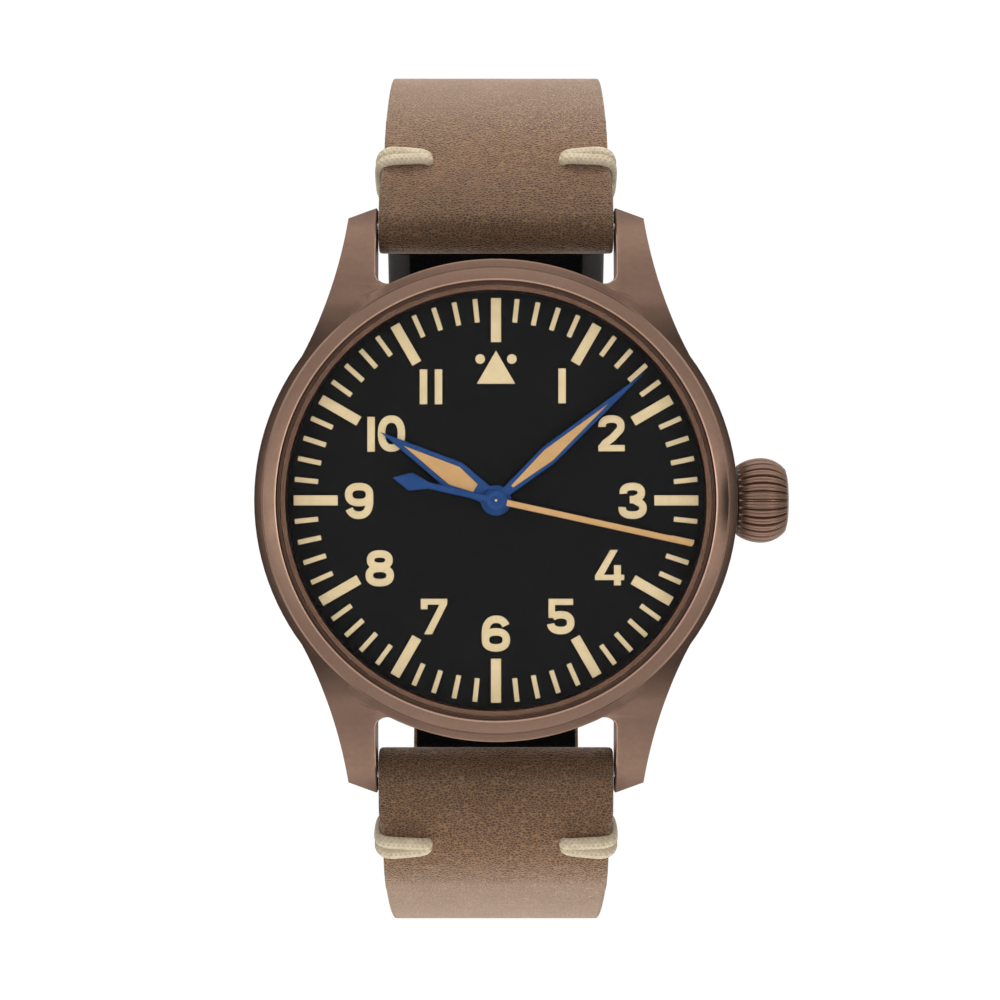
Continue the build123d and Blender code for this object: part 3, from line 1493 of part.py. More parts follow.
def cord_holes(arcs, side):
    """Slots in the leather for the two turns of cord at each edge."""
    for hand in (-1, 1):
        with BuildSketch(stitch_plane(arcs, side, -cut_over, hand * cord_hole_x)) as slot:
            SlotOverall(stitch_pitch + cord_d + 4 * cord_lift, cord_d + 2 * cord_lift)
        extrude(slot.sketch, amount=-2 * strap_fold_r - 2 * cut_over, mode=Mode.SUBTRACT)


def least_gap(line):
    """The least space between the turns of a cord, measured on points along its middle."""
    count = round(4 * line.length / cord_d)
    spots = [line @ (step / count) for step in range(count + 1)]
    turns = [(a - b).length for place, a in enumerate(spots) for b in spots[place + 12 :]]
    return round(min(turns) - cord_d, 3)


def stitch_cord(arcs, side, hand):
    """One unbroken cord: up through the hole, round the edge, twice."""
    over = cord_d / 2 + cord_lift
    base = stitch_plane(arcs, side, 0)
    top = over
    bottom = -2 * strap_fold_r - over
    hole = hand * cord_hole_x
    edge = hand * (strap_w / 2 + over - cord_lift)
    half = stitch_pitch / 2

    def spot(along, across, out):
        place = base.origin + base.x_dir * along + base.z_dir * out
        return Vector(across, place.Y, place.Z)

    points = [
        spot(-half, hole, bottom + over),
        spot(-half, hole, top),
        spot(-half, edge, top),
        spot(-half, edge, bottom),
        spot(half, hole, bottom),
        spot(half, hole, top),
        spot(half, edge, top),
        spot(half, edge, bottom + over),
    ]
    with BuildPart(mode=Mode.PRIVATE) as cord:
        with BuildLine() as route:
            FilletPolyline(*points, radius=cord_bend_r)
        with BuildSketch(Plane(origin=route.line @ 0, z_dir=route.line % 0)):
            RegularPolygon(cord_d / 2, cord_sides)
        sweep()
    print("Stitch cord: bends of", cord_bend_r, "mm, least gap to itself", least_gap(route.wire()), "mm")
    return cord.part


def wrist_point(reach, tilt):
    """A side-plane point at a distance and tilt from the middle of the wrist's curve."""
    return (
        wrist_spot[0] + reach * sin(radians(tilt)),
        wrist_spot[1] - reach * cos(radians(tilt)),
    )


def wrist_plane(tilt, reach=0):
    """A plane across the lower strap: X across it and Y out from the wrist."""
    along = (0, cos(radians(tilt)), sin(radians(tilt)))
    return Plane(origin=(0, *wrist_point(reach, tilt)), x_dir=(1, 0, 0), z_dir=along)


def surface_plane(tilt, reach):
    """A plane on the lower strap, X across it and Z out from the wrist."""
    out = (0, sin(radians(tilt)), -cos(radians(tilt)))
    return Plane(origin=(0, *wrist_point(reach, tilt)), x_dir=(1, 0, 0), z_dir=out)


wrist_axis = Axis((0, *wrist_spot), (1, 0, 0))
keeper_half = degrees(keeper_len / 2 / wrist_r)
keeper_half_w = keeper_in_w / 2 + keeper_t
tuck_r = wrist_r - leather_t + fit
keeper_r = tail_r + keeper_play

# Short piece of strap on the 12 o'clock side, with an eye for the buckle's bar
bar_centre = wrist_point(wrist_r - strap_t / 2, short_bar_tilt)
with BuildPart() as strap_short:
    add(strap_head(short_arcs, 1))
    add(strap_rear(short_arcs, 1, 0, leather_t, short_end_w))
    with BuildSketch(Plane.YZ):
        with Locations(bar_centre):
            Circle(eye_r)
    extrude(amount=short_end_w / 2, both=True)
    with BuildSketch(Plane.YZ):
        with Locations(bar_centre):
            Circle(buckle_bar_r + run_fit)
    extrude(amount=strap_w, both=True, mode=Mode.SUBTRACT)
    with BuildSketch(Plane.YZ):
        with Locations(bar_centre):
            Circle(2 * eye_r)
    extrude(amount=tang_w / 2 + 2 * layer_gap, both=True, mode=Mode.SUBTRACT)
    with BuildSketch(wrist_plane(keeper_tilt - keeper_half - layer_gap)):
        for hand in (-1, 1):
            with Locations((hand * (short_end_w / 2 - tuck_len - fit), tuck_r)):
                Rectangle(
                    strap_w,
                    tuck_t + fit,
                    align=(Align.MIN if hand > 0 else Align.MAX, Align.MIN),
                )
    revolve(axis=wrist_axis, revolution_arc=2 * keeper_half + 2 * layer_gap, mode=Mode.SUBTRACT)
    cord_holes(short_arcs, 1)
strap_short.part.label = "strap_short"
export_step(strap_short.part, "parts/strap_short.step")

short_stop = 180 - short_bar_tilt - degrees((eye_r + spring_bar_r / 2) / wrist_r)
with BuildPart() as strap_short_lining:
    for piece in lining_piece(short_arcs, 1, short_end_w, short_stop):
        add(piece)
strap_short_lining.part.label = "strap_short_lining"
export_step(strap_short_lining.part, "parts/strap_short_lining.step")

# Long piece on the 6 o'clock side: buckle holes and a rounded tail
tang_slot_len = 6.0
tang_slot_w = tang_w + 5 * layer_gap
tang_hole_at = path_length(long_arcs) - tail_r * radians(tail_tilt - tang_hole_tilt)


def strap_holes():
    """Cuts the buckle holes, the middle one drawn long by the tang, and rounds the tail."""
    with BuildSketch(surface_plane(tang_hole_tilt, tail_r + cut_over)) as slot:
        SlotOverall(tang_slot_len, tang_slot_w, rotation=90)
    extrude(slot.sketch, amount=-strap_t - 3 * cut_over, mode=Mode.SUBTRACT)
    for step in range(-hole_count_side, hole_count_side + 1):
        if step:
            place, heading = path_point(long_arcs, tang_hole_at + step * hole_pitch)
            out = (0, -sin(radians(heading)), cos(radians(heading)))
            spot = Plane(origin=(0, -place[0], place[1]), x_dir=(1, 0, 0), z_dir=out)
            with BuildSketch(spot.offset(cut_over)) as hole:
                Circle(hole_r)
            extrude(hole.sketch, amount=-strap_t - 2 * cut_over, mode=Mode.SUBTRACT)
    with BuildSketch(surface_plane(tail_tilt, tail_r + cut_over)) as waste:
        Rectangle(strap_w, 4 * tail_point)
        with Locations((0, tail_point)):
            Rectangle(strap_w, 2 * tail_point, align=(Align.CENTER, Align.MIN), mode=Mode.SUBTRACT)
            Ellipse(long_end_w / 2 + fit, tail_point, mode=Mode.SUBTRACT)
    extrude(waste.sketch, amount=-strap_t - 3 * cut_over, mode=Mode.SUBTRACT)


with BuildPart() as strap_long:
    add(strap_head(long_arcs, -1))
    add(strap_rear(long_arcs, -1, 0, leather_t, long_end_w))
    strap_holes()
    cord_holes(long_arcs, -1)
strap_long.part.label = "strap_long"
export_step(strap_long.part, "parts/strap_long.step")

with BuildPart() as strap_long_lining:
    for piece in lining_piece(long_arcs, -1, long_end_w, 180 + tail_tilt):
        add(piece)
    strap_holes()
strap_long_lining.part.label = "strap_long_lining"
export_step(strap_long_lining.part, "parts/strap_long_lining.step")

with BuildPart() as strap_cords:
    for hand in (-1, 1):
        add(stitch_cord(short_arcs, 1, hand))
        add(stitch_cord(long_arcs, -1, hand))
strap_cords.part.label = "strap_cords"
export_step(strap_cords.part, "parts/strap_cords.step")

# Fixed keeper: an open band tucked between the leather and the lining
with BuildPart() as fixed_keeper:
    with BuildSketch(wrist_plane(keeper_tilt - keeper_half)):
        with Locations((0, tuck_r)):
            RectangleRounded(
                2 * keeper_half_w,
                keeper_r + keeper_t - tuck_r,
                keeper_corner_r,
                align=(Align.CENTER, Align.MIN),
            )
        with Locations((0, tuck_r + tuck_t)):
            RectangleRounded(
                keeper_in_w,
                keeper_r - tuck_r - tuck_t,
                keeper_bend_r,
                align=(Align.CENTER, Align.MIN),
                mode=Mode.SUBTRACT,
            )
        with Locations((0, tuck_r)):
            Rectangle(short_end_w - 2 * tuck_len, tuck_t, align=(Align.CENTER, Align.MIN), mode=Mode.SUBTRACT)
    revolve(axis=wrist_axis, revolution_arc=2 * keeper_half)
fixed_keeper.part.label = "fixed_keeper"
export_step(fixed_keeper.part, "parts/fixed_keeper.step")

# Free keeper: a closed band that slides along both layers of strap
free_inner_r = wrist_r - strap_t - keeper_play
with BuildPart() as free_keeper:
    with BuildSketch(wrist_plane(free_keeper_tilt - keeper_half)):
        with Locations((0, free_inner_r - keeper_t)):
            RectangleRounded(
                2 * keeper_half_w,
                keeper_r - free_inner_r + 2 * keeper_t,
                keeper_corner_r,
                align=(Align.CENTER, Align.MIN),
            )
        with Locations((0, free_inner_r)):
            RectangleRounded(
                keeper_in_w,
                keeper_r - free_inner_r,
                keeper_bend_r,
                align=(Align.CENTER, Align.MIN),
                mode=Mode.SUBTRACT,
            )
    revolve(axis=wrist_axis, revolution_arc=2 * keeper_half)
free_keeper.part.label = "free_keeper"
export_step(free_keeper.part, "parts/free_keeper.step")


def capsule(from_spot, to_spot, width):
    """A round-ended bar between two points of the sketch being built."""
    span = hypot(to_spot[0] - from_spot[0], to_spot[1] - from_spot[1])
    lean = degrees(atan2(to_spot[1] - from_spot[1], to_spot[0] - from_spot[0]))
    middle = ((from_spot[0] + to_spot[0]) / 2, (from_spot[1] + to_spot[1]) / 2)
    with Locations(Location((*middle, 0), (0, 0, lean))):
        SlotCenterToCenter(span, width)


# Buckle frame: two arms and a round front bar with a rest for the tang
frame_bar_r_at = tail_r + keeper_play + frame_bar_r
frame_bar_spot = wrist_point(frame_bar_r_at, frame_bar_tilt)
tang_rest_depth = 0.5
tang_rest_r = frame_bar_r_at + frame_bar_r - tang_rest_depth + tang_t / 2
tang_rest_swing = 3
frame_half_w = frame_in_w / 2 + frame_side_w
with BuildPart() as buckle_frame:
    with BuildSketch(Plane.YZ):
        capsule(bar_centre, frame_bar_spot, frame_arm_h)
    extrude(amount=frame_half_w, both=True)
    with BuildSketch(Plane.YZ):
        capsule(bar_centre, frame_bar_spot, 2 * frame_arm_h)
    extrude(amount=frame_in_w / 2, both=True, mode=Mode.SUBTRACT)
    with BuildSketch(Plane.YZ):
        with Locations(frame_bar_spot):
            Circle(frame_bar_r)
    extrude(amount=frame_half_w, both=True)
    with BuildSketch(surface_plane(frame_bar_tilt, tang_rest_r - tang_t / 2 - 4 * fit)):
        Rectangle(tang_w + 2 * layer_gap, 4 * frame_bar_r)
    extrude(amount=2 * frame_bar_r, mode=Mode.SUBTRACT)
    with BuildSketch(Plane.YZ):
        with Locations(bar_centre):
            Circle(tip_r + fit)
    extrude(amount=frame_half_w - frame_side_w / 3, both=True, mode=Mode.SUBTRACT)
buckle_frame.part.label = "buckle_frame"
export_step(buckle_frame.part, "parts/buckle_frame.step")

with BuildPart() as buckle_bar:
    with BuildSketch(Plane.YZ):
        with Locations(bar_centre):
            Circle(buckle_bar_r)
    extrude(amount=frame_in_w / 2 - layer_gap, both=True)
    with BuildSketch(Plane.YZ):
        with Locations(bar_centre):
            Circle(tip_r)
    extrude(amount=frame_half_w - frame_side_w / 2, both=True)
buckle_bar.part.label = "buckle_bar"
export_step(buckle_bar.part, "parts/buckle_bar.step")

# Tang: looped on the bar, up through the strap and over the front bar
tang_knee = wrist_point(wrist_r - strap_t / 2 + tang_t / 2, short_bar_tilt - 6)
tang_shoulder = wrist_point(tail_r + keeper_play + tang_t / 2, tang_hole_tilt - 2)
tang_over = wrist_point(tang_rest_r, frame_bar_tilt + tang_rest_swing)
tang_end = wrist_point(tang_rest_r, frame_bar_tilt - tang_rest_swing)
with BuildPart() as buckle_tang:
    with BuildSketch(Plane.YZ):
        capsule(bar_centre, tang_knee, tang_t)
        capsule(tang_knee, tang_shoulder, tang_t)
        capsule(tang_shoulder, tang_over, tang_t)
        capsule(tang_over, tang_end, tang_t)
        with Locations(bar_centre):
            Circle(eye_r)
            Circle(buckle_bar_r + run_fit, mode=Mode.SUBTRACT)
    extrude(amount=tang_w / 2, both=True)
buckle_tang.part.label = "buckle_tang"
export_step(buckle_tang.part, "parts/buckle_tang.step")

# Spring bars between the lugs: one fixed tip, one that slides into the tube to free it
tube_end_x = lug_gap / 2 - 2 * layer_gap
for name, side in (("12", 1), ("6", -1)):
    with BuildPart() as spring_bar:
        with BuildSketch(Plane.YZ):
            with Locations((side * spring_bar_y, spring_bar_z)):
                Circle(spring_bar_r)
        extrude(amount=tube_end_x, both=True)
        with BuildSketch(Plane.YZ.offset(-tube_end_x)):
            with Locations((side * spring_bar_y, spring_bar_z)):
                Circle(tip_r)
        extrude(amount=-tip_stand - layer_gap)
        with BuildSketch(Plane.YZ.offset(tube_end_x)):
            with Locations((side * spring_bar_y, spring_bar_z)):
                Circle(tip_r + run_fit)
        extrude(amount=-2 * tip_len, mode=Mode.SUBTRACT)
    spring_bar.part.label = "spring_bar_" + name
    export_step(spring_bar.part, "parts/spring_bar_" + name + ".step")
    with BuildPart() as spring_bar_tip:
        with BuildSketch(Plane.YZ.offset(tube_end_x + layer_gap + tip_stand)):
            with Locations((side * spring_bar_y, spring_bar_z)):
                Circle(tip_r)
        extrude(amount=-tip_stand - tip_len)
    spring_bar_tip.part.label = "spring_bar_tip_" + name
    export_step(spring_bar_tip.part, "parts/spring_bar_tip_" + name + ".step")
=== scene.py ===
import bmesh
import bpy
import json
from math import asin, cos, degrees, pi, radians, sin
from mathutils import Matrix, Vector, geometry


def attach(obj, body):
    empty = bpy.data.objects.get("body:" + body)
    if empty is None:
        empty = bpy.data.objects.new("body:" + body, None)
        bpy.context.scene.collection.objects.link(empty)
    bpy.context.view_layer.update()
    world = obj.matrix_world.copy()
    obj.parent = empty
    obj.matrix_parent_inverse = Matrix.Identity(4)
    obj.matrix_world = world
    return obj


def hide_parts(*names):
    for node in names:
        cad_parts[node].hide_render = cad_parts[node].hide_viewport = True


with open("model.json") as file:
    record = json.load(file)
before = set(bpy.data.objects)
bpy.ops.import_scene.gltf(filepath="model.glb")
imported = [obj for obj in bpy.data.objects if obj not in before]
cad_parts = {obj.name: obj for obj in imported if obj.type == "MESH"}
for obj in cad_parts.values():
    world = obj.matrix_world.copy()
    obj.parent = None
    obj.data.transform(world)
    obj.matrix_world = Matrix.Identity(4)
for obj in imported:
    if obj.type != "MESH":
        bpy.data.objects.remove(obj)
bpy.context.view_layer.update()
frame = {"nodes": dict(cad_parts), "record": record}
nodes = frame["nodes"]
MM = 0.001


def stand(name, data):
    """A new object with this mesh, curve, lamp or camera in it, linked into the scene."""
    thing = bpy.data.objects.new(name, data)
    bpy.context.collection.objects.link(thing)
    return thing


def worked_mesh(thing):
    """The plain mesh that an object's curve or modifiers come to."""
    bpy.context.view_layer.update()
    return bpy.data.meshes.new_from_object(thing.evaluated_get(bpy.context.evaluated_depsgraph_get()))


# Camera and lamps
def look_down():
    lens = bpy.data.cameras.new("dial_camera")
    lens.lens = 105.8
    lens.sensor_width = 36.0
    lens.shift_x = 0.004
    lens.shift_y = 0.0004
    lens.clip_start = 0.01
    camera = stand("dial_camera", lens)
    camera.location = (0, 0, 250 * MM)
    bpy.context.scene.camera = camera


def softbox(name, place, size, watts, mirrored=True):
    lamp = bpy.data.lights.new(name, "AREA")
    lamp.shape = "RECTANGLE"
    lamp.size, lamp.size_y = size
    lamp.energy = watts
    box = stand(name, lamp)
    box.location = place
    box.rotation_euler = (-Vector(place)).to_track_quat("-Z", "Y").to_euler()
    box.visible_glossy = mirrored


# Nodes, and short ways to add the common ones
def connect(tree, value, socket):
    if isinstance(value, bpy.types.NodeSocket):
        tree.links.new(value, socket)
    else:
        socket.default_value = value


def add_node(tree, kind, settings=None, **values):
    """A node with its settings, and its inputs given by name or by number, as _0."""
    node = tree.nodes.new(kind)
    for name, value in (settings or {}).items():
        setattr(node, name, value)
    for name, value in values.items():
        key = int(name[1:]) if name[0] == "_" else name.replace("_", " ")
        connect(tree, value, node.inputs[key])
    return node


def vector_reckon(tree, operation, *values, kind="ShaderNodeVectorMath"):
    """The outputs of a sum on vectors."""
    node = add_node(tree, kind, {"operation": operation})
    for value, socket in zip(values, node.inputs):
        connect(tree, value, socket)
    return node.outputs


def reckon(tree, operation, *values):
    """The result of a sum on numbers."""
    return vector_reckon(tree, operation, *values, kind="ShaderNodeMath")[0]


def ranged(tree, value, settings=None, **limits):
    return add_node(tree, "ShaderNodeMapRange", settings, Value=value, **limits).outputs[0]


def mix_values(tree, share, first, second):
    return add_node(tree, "ShaderNodeMix", {"data_type": "FLOAT"}, _0=share, _2=first, _3=second).outputs[0]


def mix_colours(tree, share, first, second, blend="MIX"):
    settings = {"data_type": "RGBA", "blend_type": blend}
    return add_node(tree, "ShaderNodeMix", settings, _0=share, _6=first, _7=second).outputs[2]


def object_place(tree):
    return add_node(tree, "ShaderNodeTexCoord").outputs["Object"]


def noise(tree, place, scale, detail, roughness=0.5):
    return add_node(
        tree, "ShaderNodeTexNoise", Vector=place, Scale=scale, Detail=detail, Roughness=roughness
    ).outputs


class Paint:
    """A material with its shader, and short ways to add to it."""

    def __init__(self, name, **shader):
        self.material = bpy.data.materials.new(name)
        self.material.use_nodes = True
        self.tree = self.material.node_tree
        self.shader = self.tree.nodes["Principled BSDF"]
        for socket, value in shader.items():
            self.shader.inputs[socket.replace("_", " ")].default_value = value

    def group(self, name, **values):
        node = self.tree.nodes.new("ShaderNodeGroup")
        node.node_tree = bpy.data.node_groups[name]
        for socket, value in values.items():
            connect(self.tree, value, node.inputs[socket.replace("_", " ")])
        return node.outputs

    def mottle(self, shades, broad, fine=2500.0, share=0.4):
        """The colour and the mask of a mottle from a dark over a middle to a light shade."""
        dark, middle, light = shades
        scales = {"Broad_scale": broad, "Fine_scale": fine, "Fine_share": share}
        tone = self.group("mottle", Dark=dark, Middle=middle, Light=light, **scales)
        return tone["Color"], tone["Mask"]

    def feed(self, **links):
        for socket, source in links.items():
            self.tree.links.new(source, self.shader.inputs[socket.replace("_", " ")])

    def uneven_gloss(self, mask, roughness, duller, shinier):
        self.feed(Roughness=ranged(self.tree, mask, To_Min=roughness + duller, To_Max=roughness - shinier))

    def bump(self, height, depth, strength):
        node = add_node(self.tree, "ShaderNodeBump", Strength=strength, Distance=depth, Height=height)
        self.feed(Normal=node.outputs["Normal"])

    def give_way(self, share, other):
        """Shows another shader in place of the paint's own by a share."""
        mixed = add_node(self.tree, "ShaderNodeMixShader", _0=share, _1=self.shader.outputs["BSDF"], _2=other)
        self.tree.links.new(mixed.outputs[0], self.tree.nodes["Material Output"].inputs["Surface"])


def effect(name, sockets_in, sockets_out):
    """An empty shader node group with its named inputs and outputs."""
    tree = bpy.data.node_groups.new(name, "ShaderNodeTree")
    for label, kind, value in sockets_in:
        socket = tree.interface.new_socket(label, in_out="INPUT", socket_type=kind)
        socket.default_value = value
    for label, kind in sockets_out:
        tree.interface.new_socket(label, in_out="OUTPUT", socket_type=kind)
    begin = tree.nodes.new("NodeGroupInput")
    end = tree.nodes.new("NodeGroupOutput")
    return tree, begin.outputs, end.inputs


FLOAT, COLOUR = "NodeSocketFloat", "NodeSocketColor"


def mottle_effect():
    """Two scales of soft noise mixed between three colours, and the same noise as a mask."""
    tree, given, out = effect(
        "mottle",
        [
            ("Dark", COLOUR, (0, 0, 0, 1)),
            ("Middle", COLOUR, (0.5, 0.5, 0.5, 1)),
            ("Light", COLOUR, (1, 1, 1, 1)),
            ("Broad scale", FLOAT, 300),
            ("Fine scale", FLOAT, 2500),
            ("Fine share", FLOAT, 0.4),
        ],
        [("Color", COLOUR), ("Mask", FLOAT)],
    )
    spot = object_place(tree)
    broad = noise(tree, spot, given["Broad scale"], 5.0, 0.6)["Fac"]
    fine = noise(tree, spot, given["Fine scale"], 3.0, 0.7)["Fac"]
    mask = ranged(tree, mix_values(tree, given["Fine share"], broad, fine), From_Min=0.3, From_Max=0.7)
    low = ranged(tree, mask, From_Min=0.0, From_Max=0.5)
    high = ranged(tree, mask, From_Min=0.5, From_Max=1.0)
    first = mix_colours(tree, low, given["Dark"], given["Middle"])
    second = mix_colours(tree, high, first, given["Light"])
    tree.links.new(second, out["Color"])
    tree.links.new(mask, out["Mask"])


def hide_effect():
    """Leather grain: cells with creases between them, broken by pores."""
    tree, given, out = effect(
        "hide_grain",
        [("Cell scale", FLOAT, 2200), ("Pore scale", FLOAT, 5200), ("Crease scale", FLOAT, 420)],
        [("Height", FLOAT), ("Pores", FLOAT)],
    )
    sway = 0.0003
    stretch = (0.65, 1.1, 1.1)
    crease_share, pore_share = 1.6, 0.9
    spot = object_place(tree)
    drift = noise(tree, spot, 900.0, 2.0)["Color"]
    bent = vector_reckon(tree, "MULTIPLY_ADD", drift, (sway, sway, sway), spot)[0]
    cells = add_node(
        tree,
        "ShaderNodeTexVoronoi",
        {"feature": "DISTANCE_TO_EDGE"},
        Vector=vector_reckon(tree, "MULTIPLY", bent, stretch)[0],
        Scale=given["Cell scale"],
        Randomness=1.0,
    )
    raised = ranged(tree, cells.outputs["Distance"], From_Max=0.15)
    pores = noise(tree, spot, given["Pore scale"], 2.0)["Fac"]
    creases = noise(tree, bent, given["Crease scale"], 6.0, 0.65)["Fac"]
    half = reckon(tree, "MULTIPLY_ADD", creases, crease_share, raised)
    tree.links.new(reckon(tree, "MULTIPLY_ADD", pores, pore_share, half), out["Height"])
    tree.links.new(raised, out["Pores"])


def lathe_effect():
    """Fine turning lines round an axis through the origin, for brushed and turned metal."""
    tree, given, out = effect(
        "turning_lines",
        [("Line scale", FLOAT, 9000), ("Blur", FLOAT, 0.3)],
        [("Height", FLOAT)],
    )
    spot = object_place(tree)
    parts = add_node(tree, "ShaderNodeSeparateXYZ", Vector=spot).outputs
    flat = add_node(tree, "ShaderNodeCombineXYZ", X=parts["X"], Y=parts["Y"]).outputs[0]
    reach = vector_reckon(tree, "LENGTH", flat)["Value"]
    line = add_node(tree, "ShaderNodeCombineXYZ", X=reach, Z=parts["Z"]).outputs[0]
    rings = noise(tree, line, given["Line scale"], 2.0)["Fac"]
    speck = noise(tree, spot, 4000.0, 2.0)["Fac"]
    tree.links.new(mix_values(tree, given["Blur"], rings, speck), out["Height"])


mottle_effect()
hide_effect()
lathe_effect()


def rgb(red, green, blue):
    """A colour written as it shows on screen, 0 to 255, made linear."""
    def linear(c):
        c /= 255
        return c / 12.92 if c <= 0.04045 else ((c + 0.055) / 1.055) ** 2.4

    return (linear(red), linear(green), linear(blue), 1.0)


def near(colour, less, more):
    """A darker shade of a colour, the colour itself and a lighter one."""
    return [tuple(c * k for c in colour[:3]) + (1.0,) for k in (less, 1.0, more)]


def painted_light_bands(tree, colour, bands, shade):
    """Painted shade or painted highlight: a colour scaled towards a shade where every band along an axis
    holds: axis, mirrored, none at, full at.
    """
    reach = add_node(tree, "ShaderNodeSeparateXYZ", Vector=object_place(tree)).outputs
    mask = None
    for axis, mirrored, none_at, full_at in bands:
        along = reckon(tree, "ABSOLUTE", reach[axis]) if mirrored else reach[axis]
        limits = {"From_Min": none_at * MM, "From_Max": full_at * MM}
        band = ranged(tree, along, {"interpolation_type": "SMOOTHSTEP"}, **limits)
        mask = reckon(tree, "MULTIPLY", mask, band) if mask else band
    level = ranged(tree, mask, To_Min=1.0, To_Max=shade)
    return mix_colours(tree, 1.0, colour, level, "MULTIPLY")


def facing(tree, way):
    """How far a surface looks a given way, from minus one to one."""
    normal = add_node(tree, "ShaderNodeNewGeometry").outputs["Normal"]
    return vector_reckon(tree, "DOT_PRODUCT", normal, way)["Value"]


def bronze_paint(name, shades, roughness, lines=True, worn_at=()):
    """Bronze with turning lines, or with a fine noise grain, and with painted shade or painted highlight in
    bands.
    """
    paint = Paint(name, Metallic=1.0, Roughness=roughness)
    colour, mask = paint.mottle(shades, 260.0, 2600.0, 0.45)
    for shade, bands in worn_at:
        colour = painted_light_bands(paint.tree, colour, bands, shade)
    paint.feed(Base_Color=colour)
    paint.uneven_gloss(mask, roughness, 0.06, 0.05)
    if lines:
        grain = paint.group("turning_lines", Line_scale=5200.0, Blur=0.55)["Height"]
    else:
        grain = noise(paint.tree, object_place(paint.tree), 6000.0, 3.0)["Fac"]
    paint.bump(grain, 0.000004, 0.5)
    return paint.material


def plain_metal(name, colour, roughness):
    paint = Paint(name, Metallic=1.0, Roughness=roughness)
    paint.feed(Base_Color=paint.mottle(near(colour, 0.88, 1.08), 400.0, 3000.0)[0])
    grain = paint.group("turning_lines", Line_scale=9000.0, Blur=0.5)
    paint.bump(grain["Height"], 0.000002, 0.4)
    return paint.material


def mottled_paint(name, shades, mottle, relief, strength, **shader):
    """A paint in three close shades with a slight relief of the same mottle."""
    paint = Paint(name, **shader)
    colour, mask = paint.mottle(shades, *mottle)
    paint.feed(Base_Color=colour)
    paint.bump(mask, relief, strength)
    return paint.material


def lume_paint(name, *shades):
    return mottled_paint(
        name, shades, (900.0, 9000.0, 0.5), 0.00001, 0.35, Roughness=0.75, Specular_IOR_Level=0.25
    )


def soft_paint(name, colour, roughness):
    return mottled_paint(name, near(colour, 0.85, 1.15), (500.0,), 0.00001, 0.3, Roughness=roughness)


def leather_paint(
    name,
    shades,
    crease,
    edge,
    roughness,
    relief,
    cell,
    gloss,
    sheen=0.0,
    cut_along=(1, 0, 0),
    lined=(0, 0, 0),
):
    """Oiled leather: mottled pebbles, creases of another colour, a burnished cut edge and a lining, with
    painted shade near the case.
    """
    paint = Paint(
        name,
        Roughness=roughness,
        Specular_IOR_Level=gloss,
        Sheen_Weight=sheen,
        Sheen_Roughness=0.35,
        Sheen_Tint=(1.0, 0.79, 0.62, 1.0),
    )
    tree = paint.tree
    colour, mask = paint.mottle(shades, 230.0, 1900.0, 0.5)
    grain = paint.group("hide_grain", Cell_scale=cell, Pore_scale=6200.0, Crease_scale=380.0)
    creased = mix_colours(tree, grain["Pores"], crease, colour)
    side = reckon(tree, "ABSOLUTE", facing(tree, cut_along))
    ends = ranged(tree, side, From_Min=0.5, From_Max=0.85)
    inner = ranged(tree, facing(tree, lined), From_Min=0.1, From_Max=0.4)
    cut = mix_colours(tree, reckon(tree, "MAXIMUM", ends, inner), creased, edge)
    # Painted shade: darker near the case, fully within 21 mm of its centre line, where the strap folds
    # between the lugs.
    paint.feed(Base_Color=painted_light_bands(tree, cut, [("Y", True, 31, 21)], 0.6))
    paint.uneven_gloss(mask, roughness, 0.08, 0.08)
    paint.bump(grain["Height"], relief, 0.6)
    return paint.material


def crystal_paint():
    """Coated sapphire: clear, with light passing straight through to the dial."""
    paint = Paint(
        "coated_crystal", Base_Color=(1, 1, 1, 1), Roughness=0.0, IOR=1.07, Transmission_Weight=1.0
    )
    path = add_node(paint.tree, "ShaderNodeLightPath")
    clear = add_node(paint.tree, "ShaderNodeBsdfTransparent")
    paint.give_way(path.outputs["Is Shadow Ray"], clear.outputs["BSDF"])
    return paint.material


def cord_paint():
    """Waxed braid: two sets of yarns that cross round the cord."""
    paint = Paint("waxed_cord", Roughness=0.7, Specular_IOR_Level=0.3)
    tree = paint.tree
    shades = rgb(162, 146, 122), rgb(182, 167, 142), rgb(200, 186, 162)
    paint.feed(Base_Color=paint.mottle(shades, 1500.0, 9000.0)[0])
    along = add_node(tree, "ShaderNodeUVMap", {"uv_map": "along"}).outputs[0]
    parts = add_node(tree, "ShaderNodeSeparateXYZ", Vector=along).outputs
    yarns_round, yarns_a_mm = 5.0, 2.6
    yarns = []
    for lay in (1.0, -1.0):
        turned_by = reckon(tree, "MULTIPLY", parts["Y"], yarns_round * lay)
        phase = reckon(tree, "MULTIPLY_ADD", parts["X"], yarns_a_mm, turned_by)
        yarns.append(reckon(tree, "SINE", reckon(tree, "MULTIPLY", phase, 2 * pi)))
    paint.bump(reckon(tree, "MAXIMUM", *yarns), 0.00004, 0.8)
    return paint.material


# Bronze: plain; with painted shade and painted highlight in bands on the case, painted shade beside the crown
# on the bezel, painted highlight on the edges, and a darker bronze for painted shade
bronze_shades = rgb(138, 110, 95), rgb(143, 115, 99), rgb(148, 120, 104)
# Painted shade on the case shoulder towards 3 and 9 o'clock.
flank_painted_shade = (0.34, [("X", True, 3, 15), ("Y", True, 17.5, 13)])
# Painted shade on the lug tops.
lugs = (0.8, [("X", True, 9.6, 10.6), ("Y", True, 16, 19)])
lug_tip_painted_shade = (0.75, [("X", True, 9.6, 10.6), ("Y", True, 22.5, 24.2)])
# Painted shade on the bezel beside the crown.
crown_side_painted_shade = (0.16, [("X", False, 17.7, 19.0), ("Y", True, 4.4, 0.6)])
# Painted shade that fades the break highlight towards 12 and 6 o'clock.
break_highlight_fade = (0.22, [("X", True, 17.5, 9)])
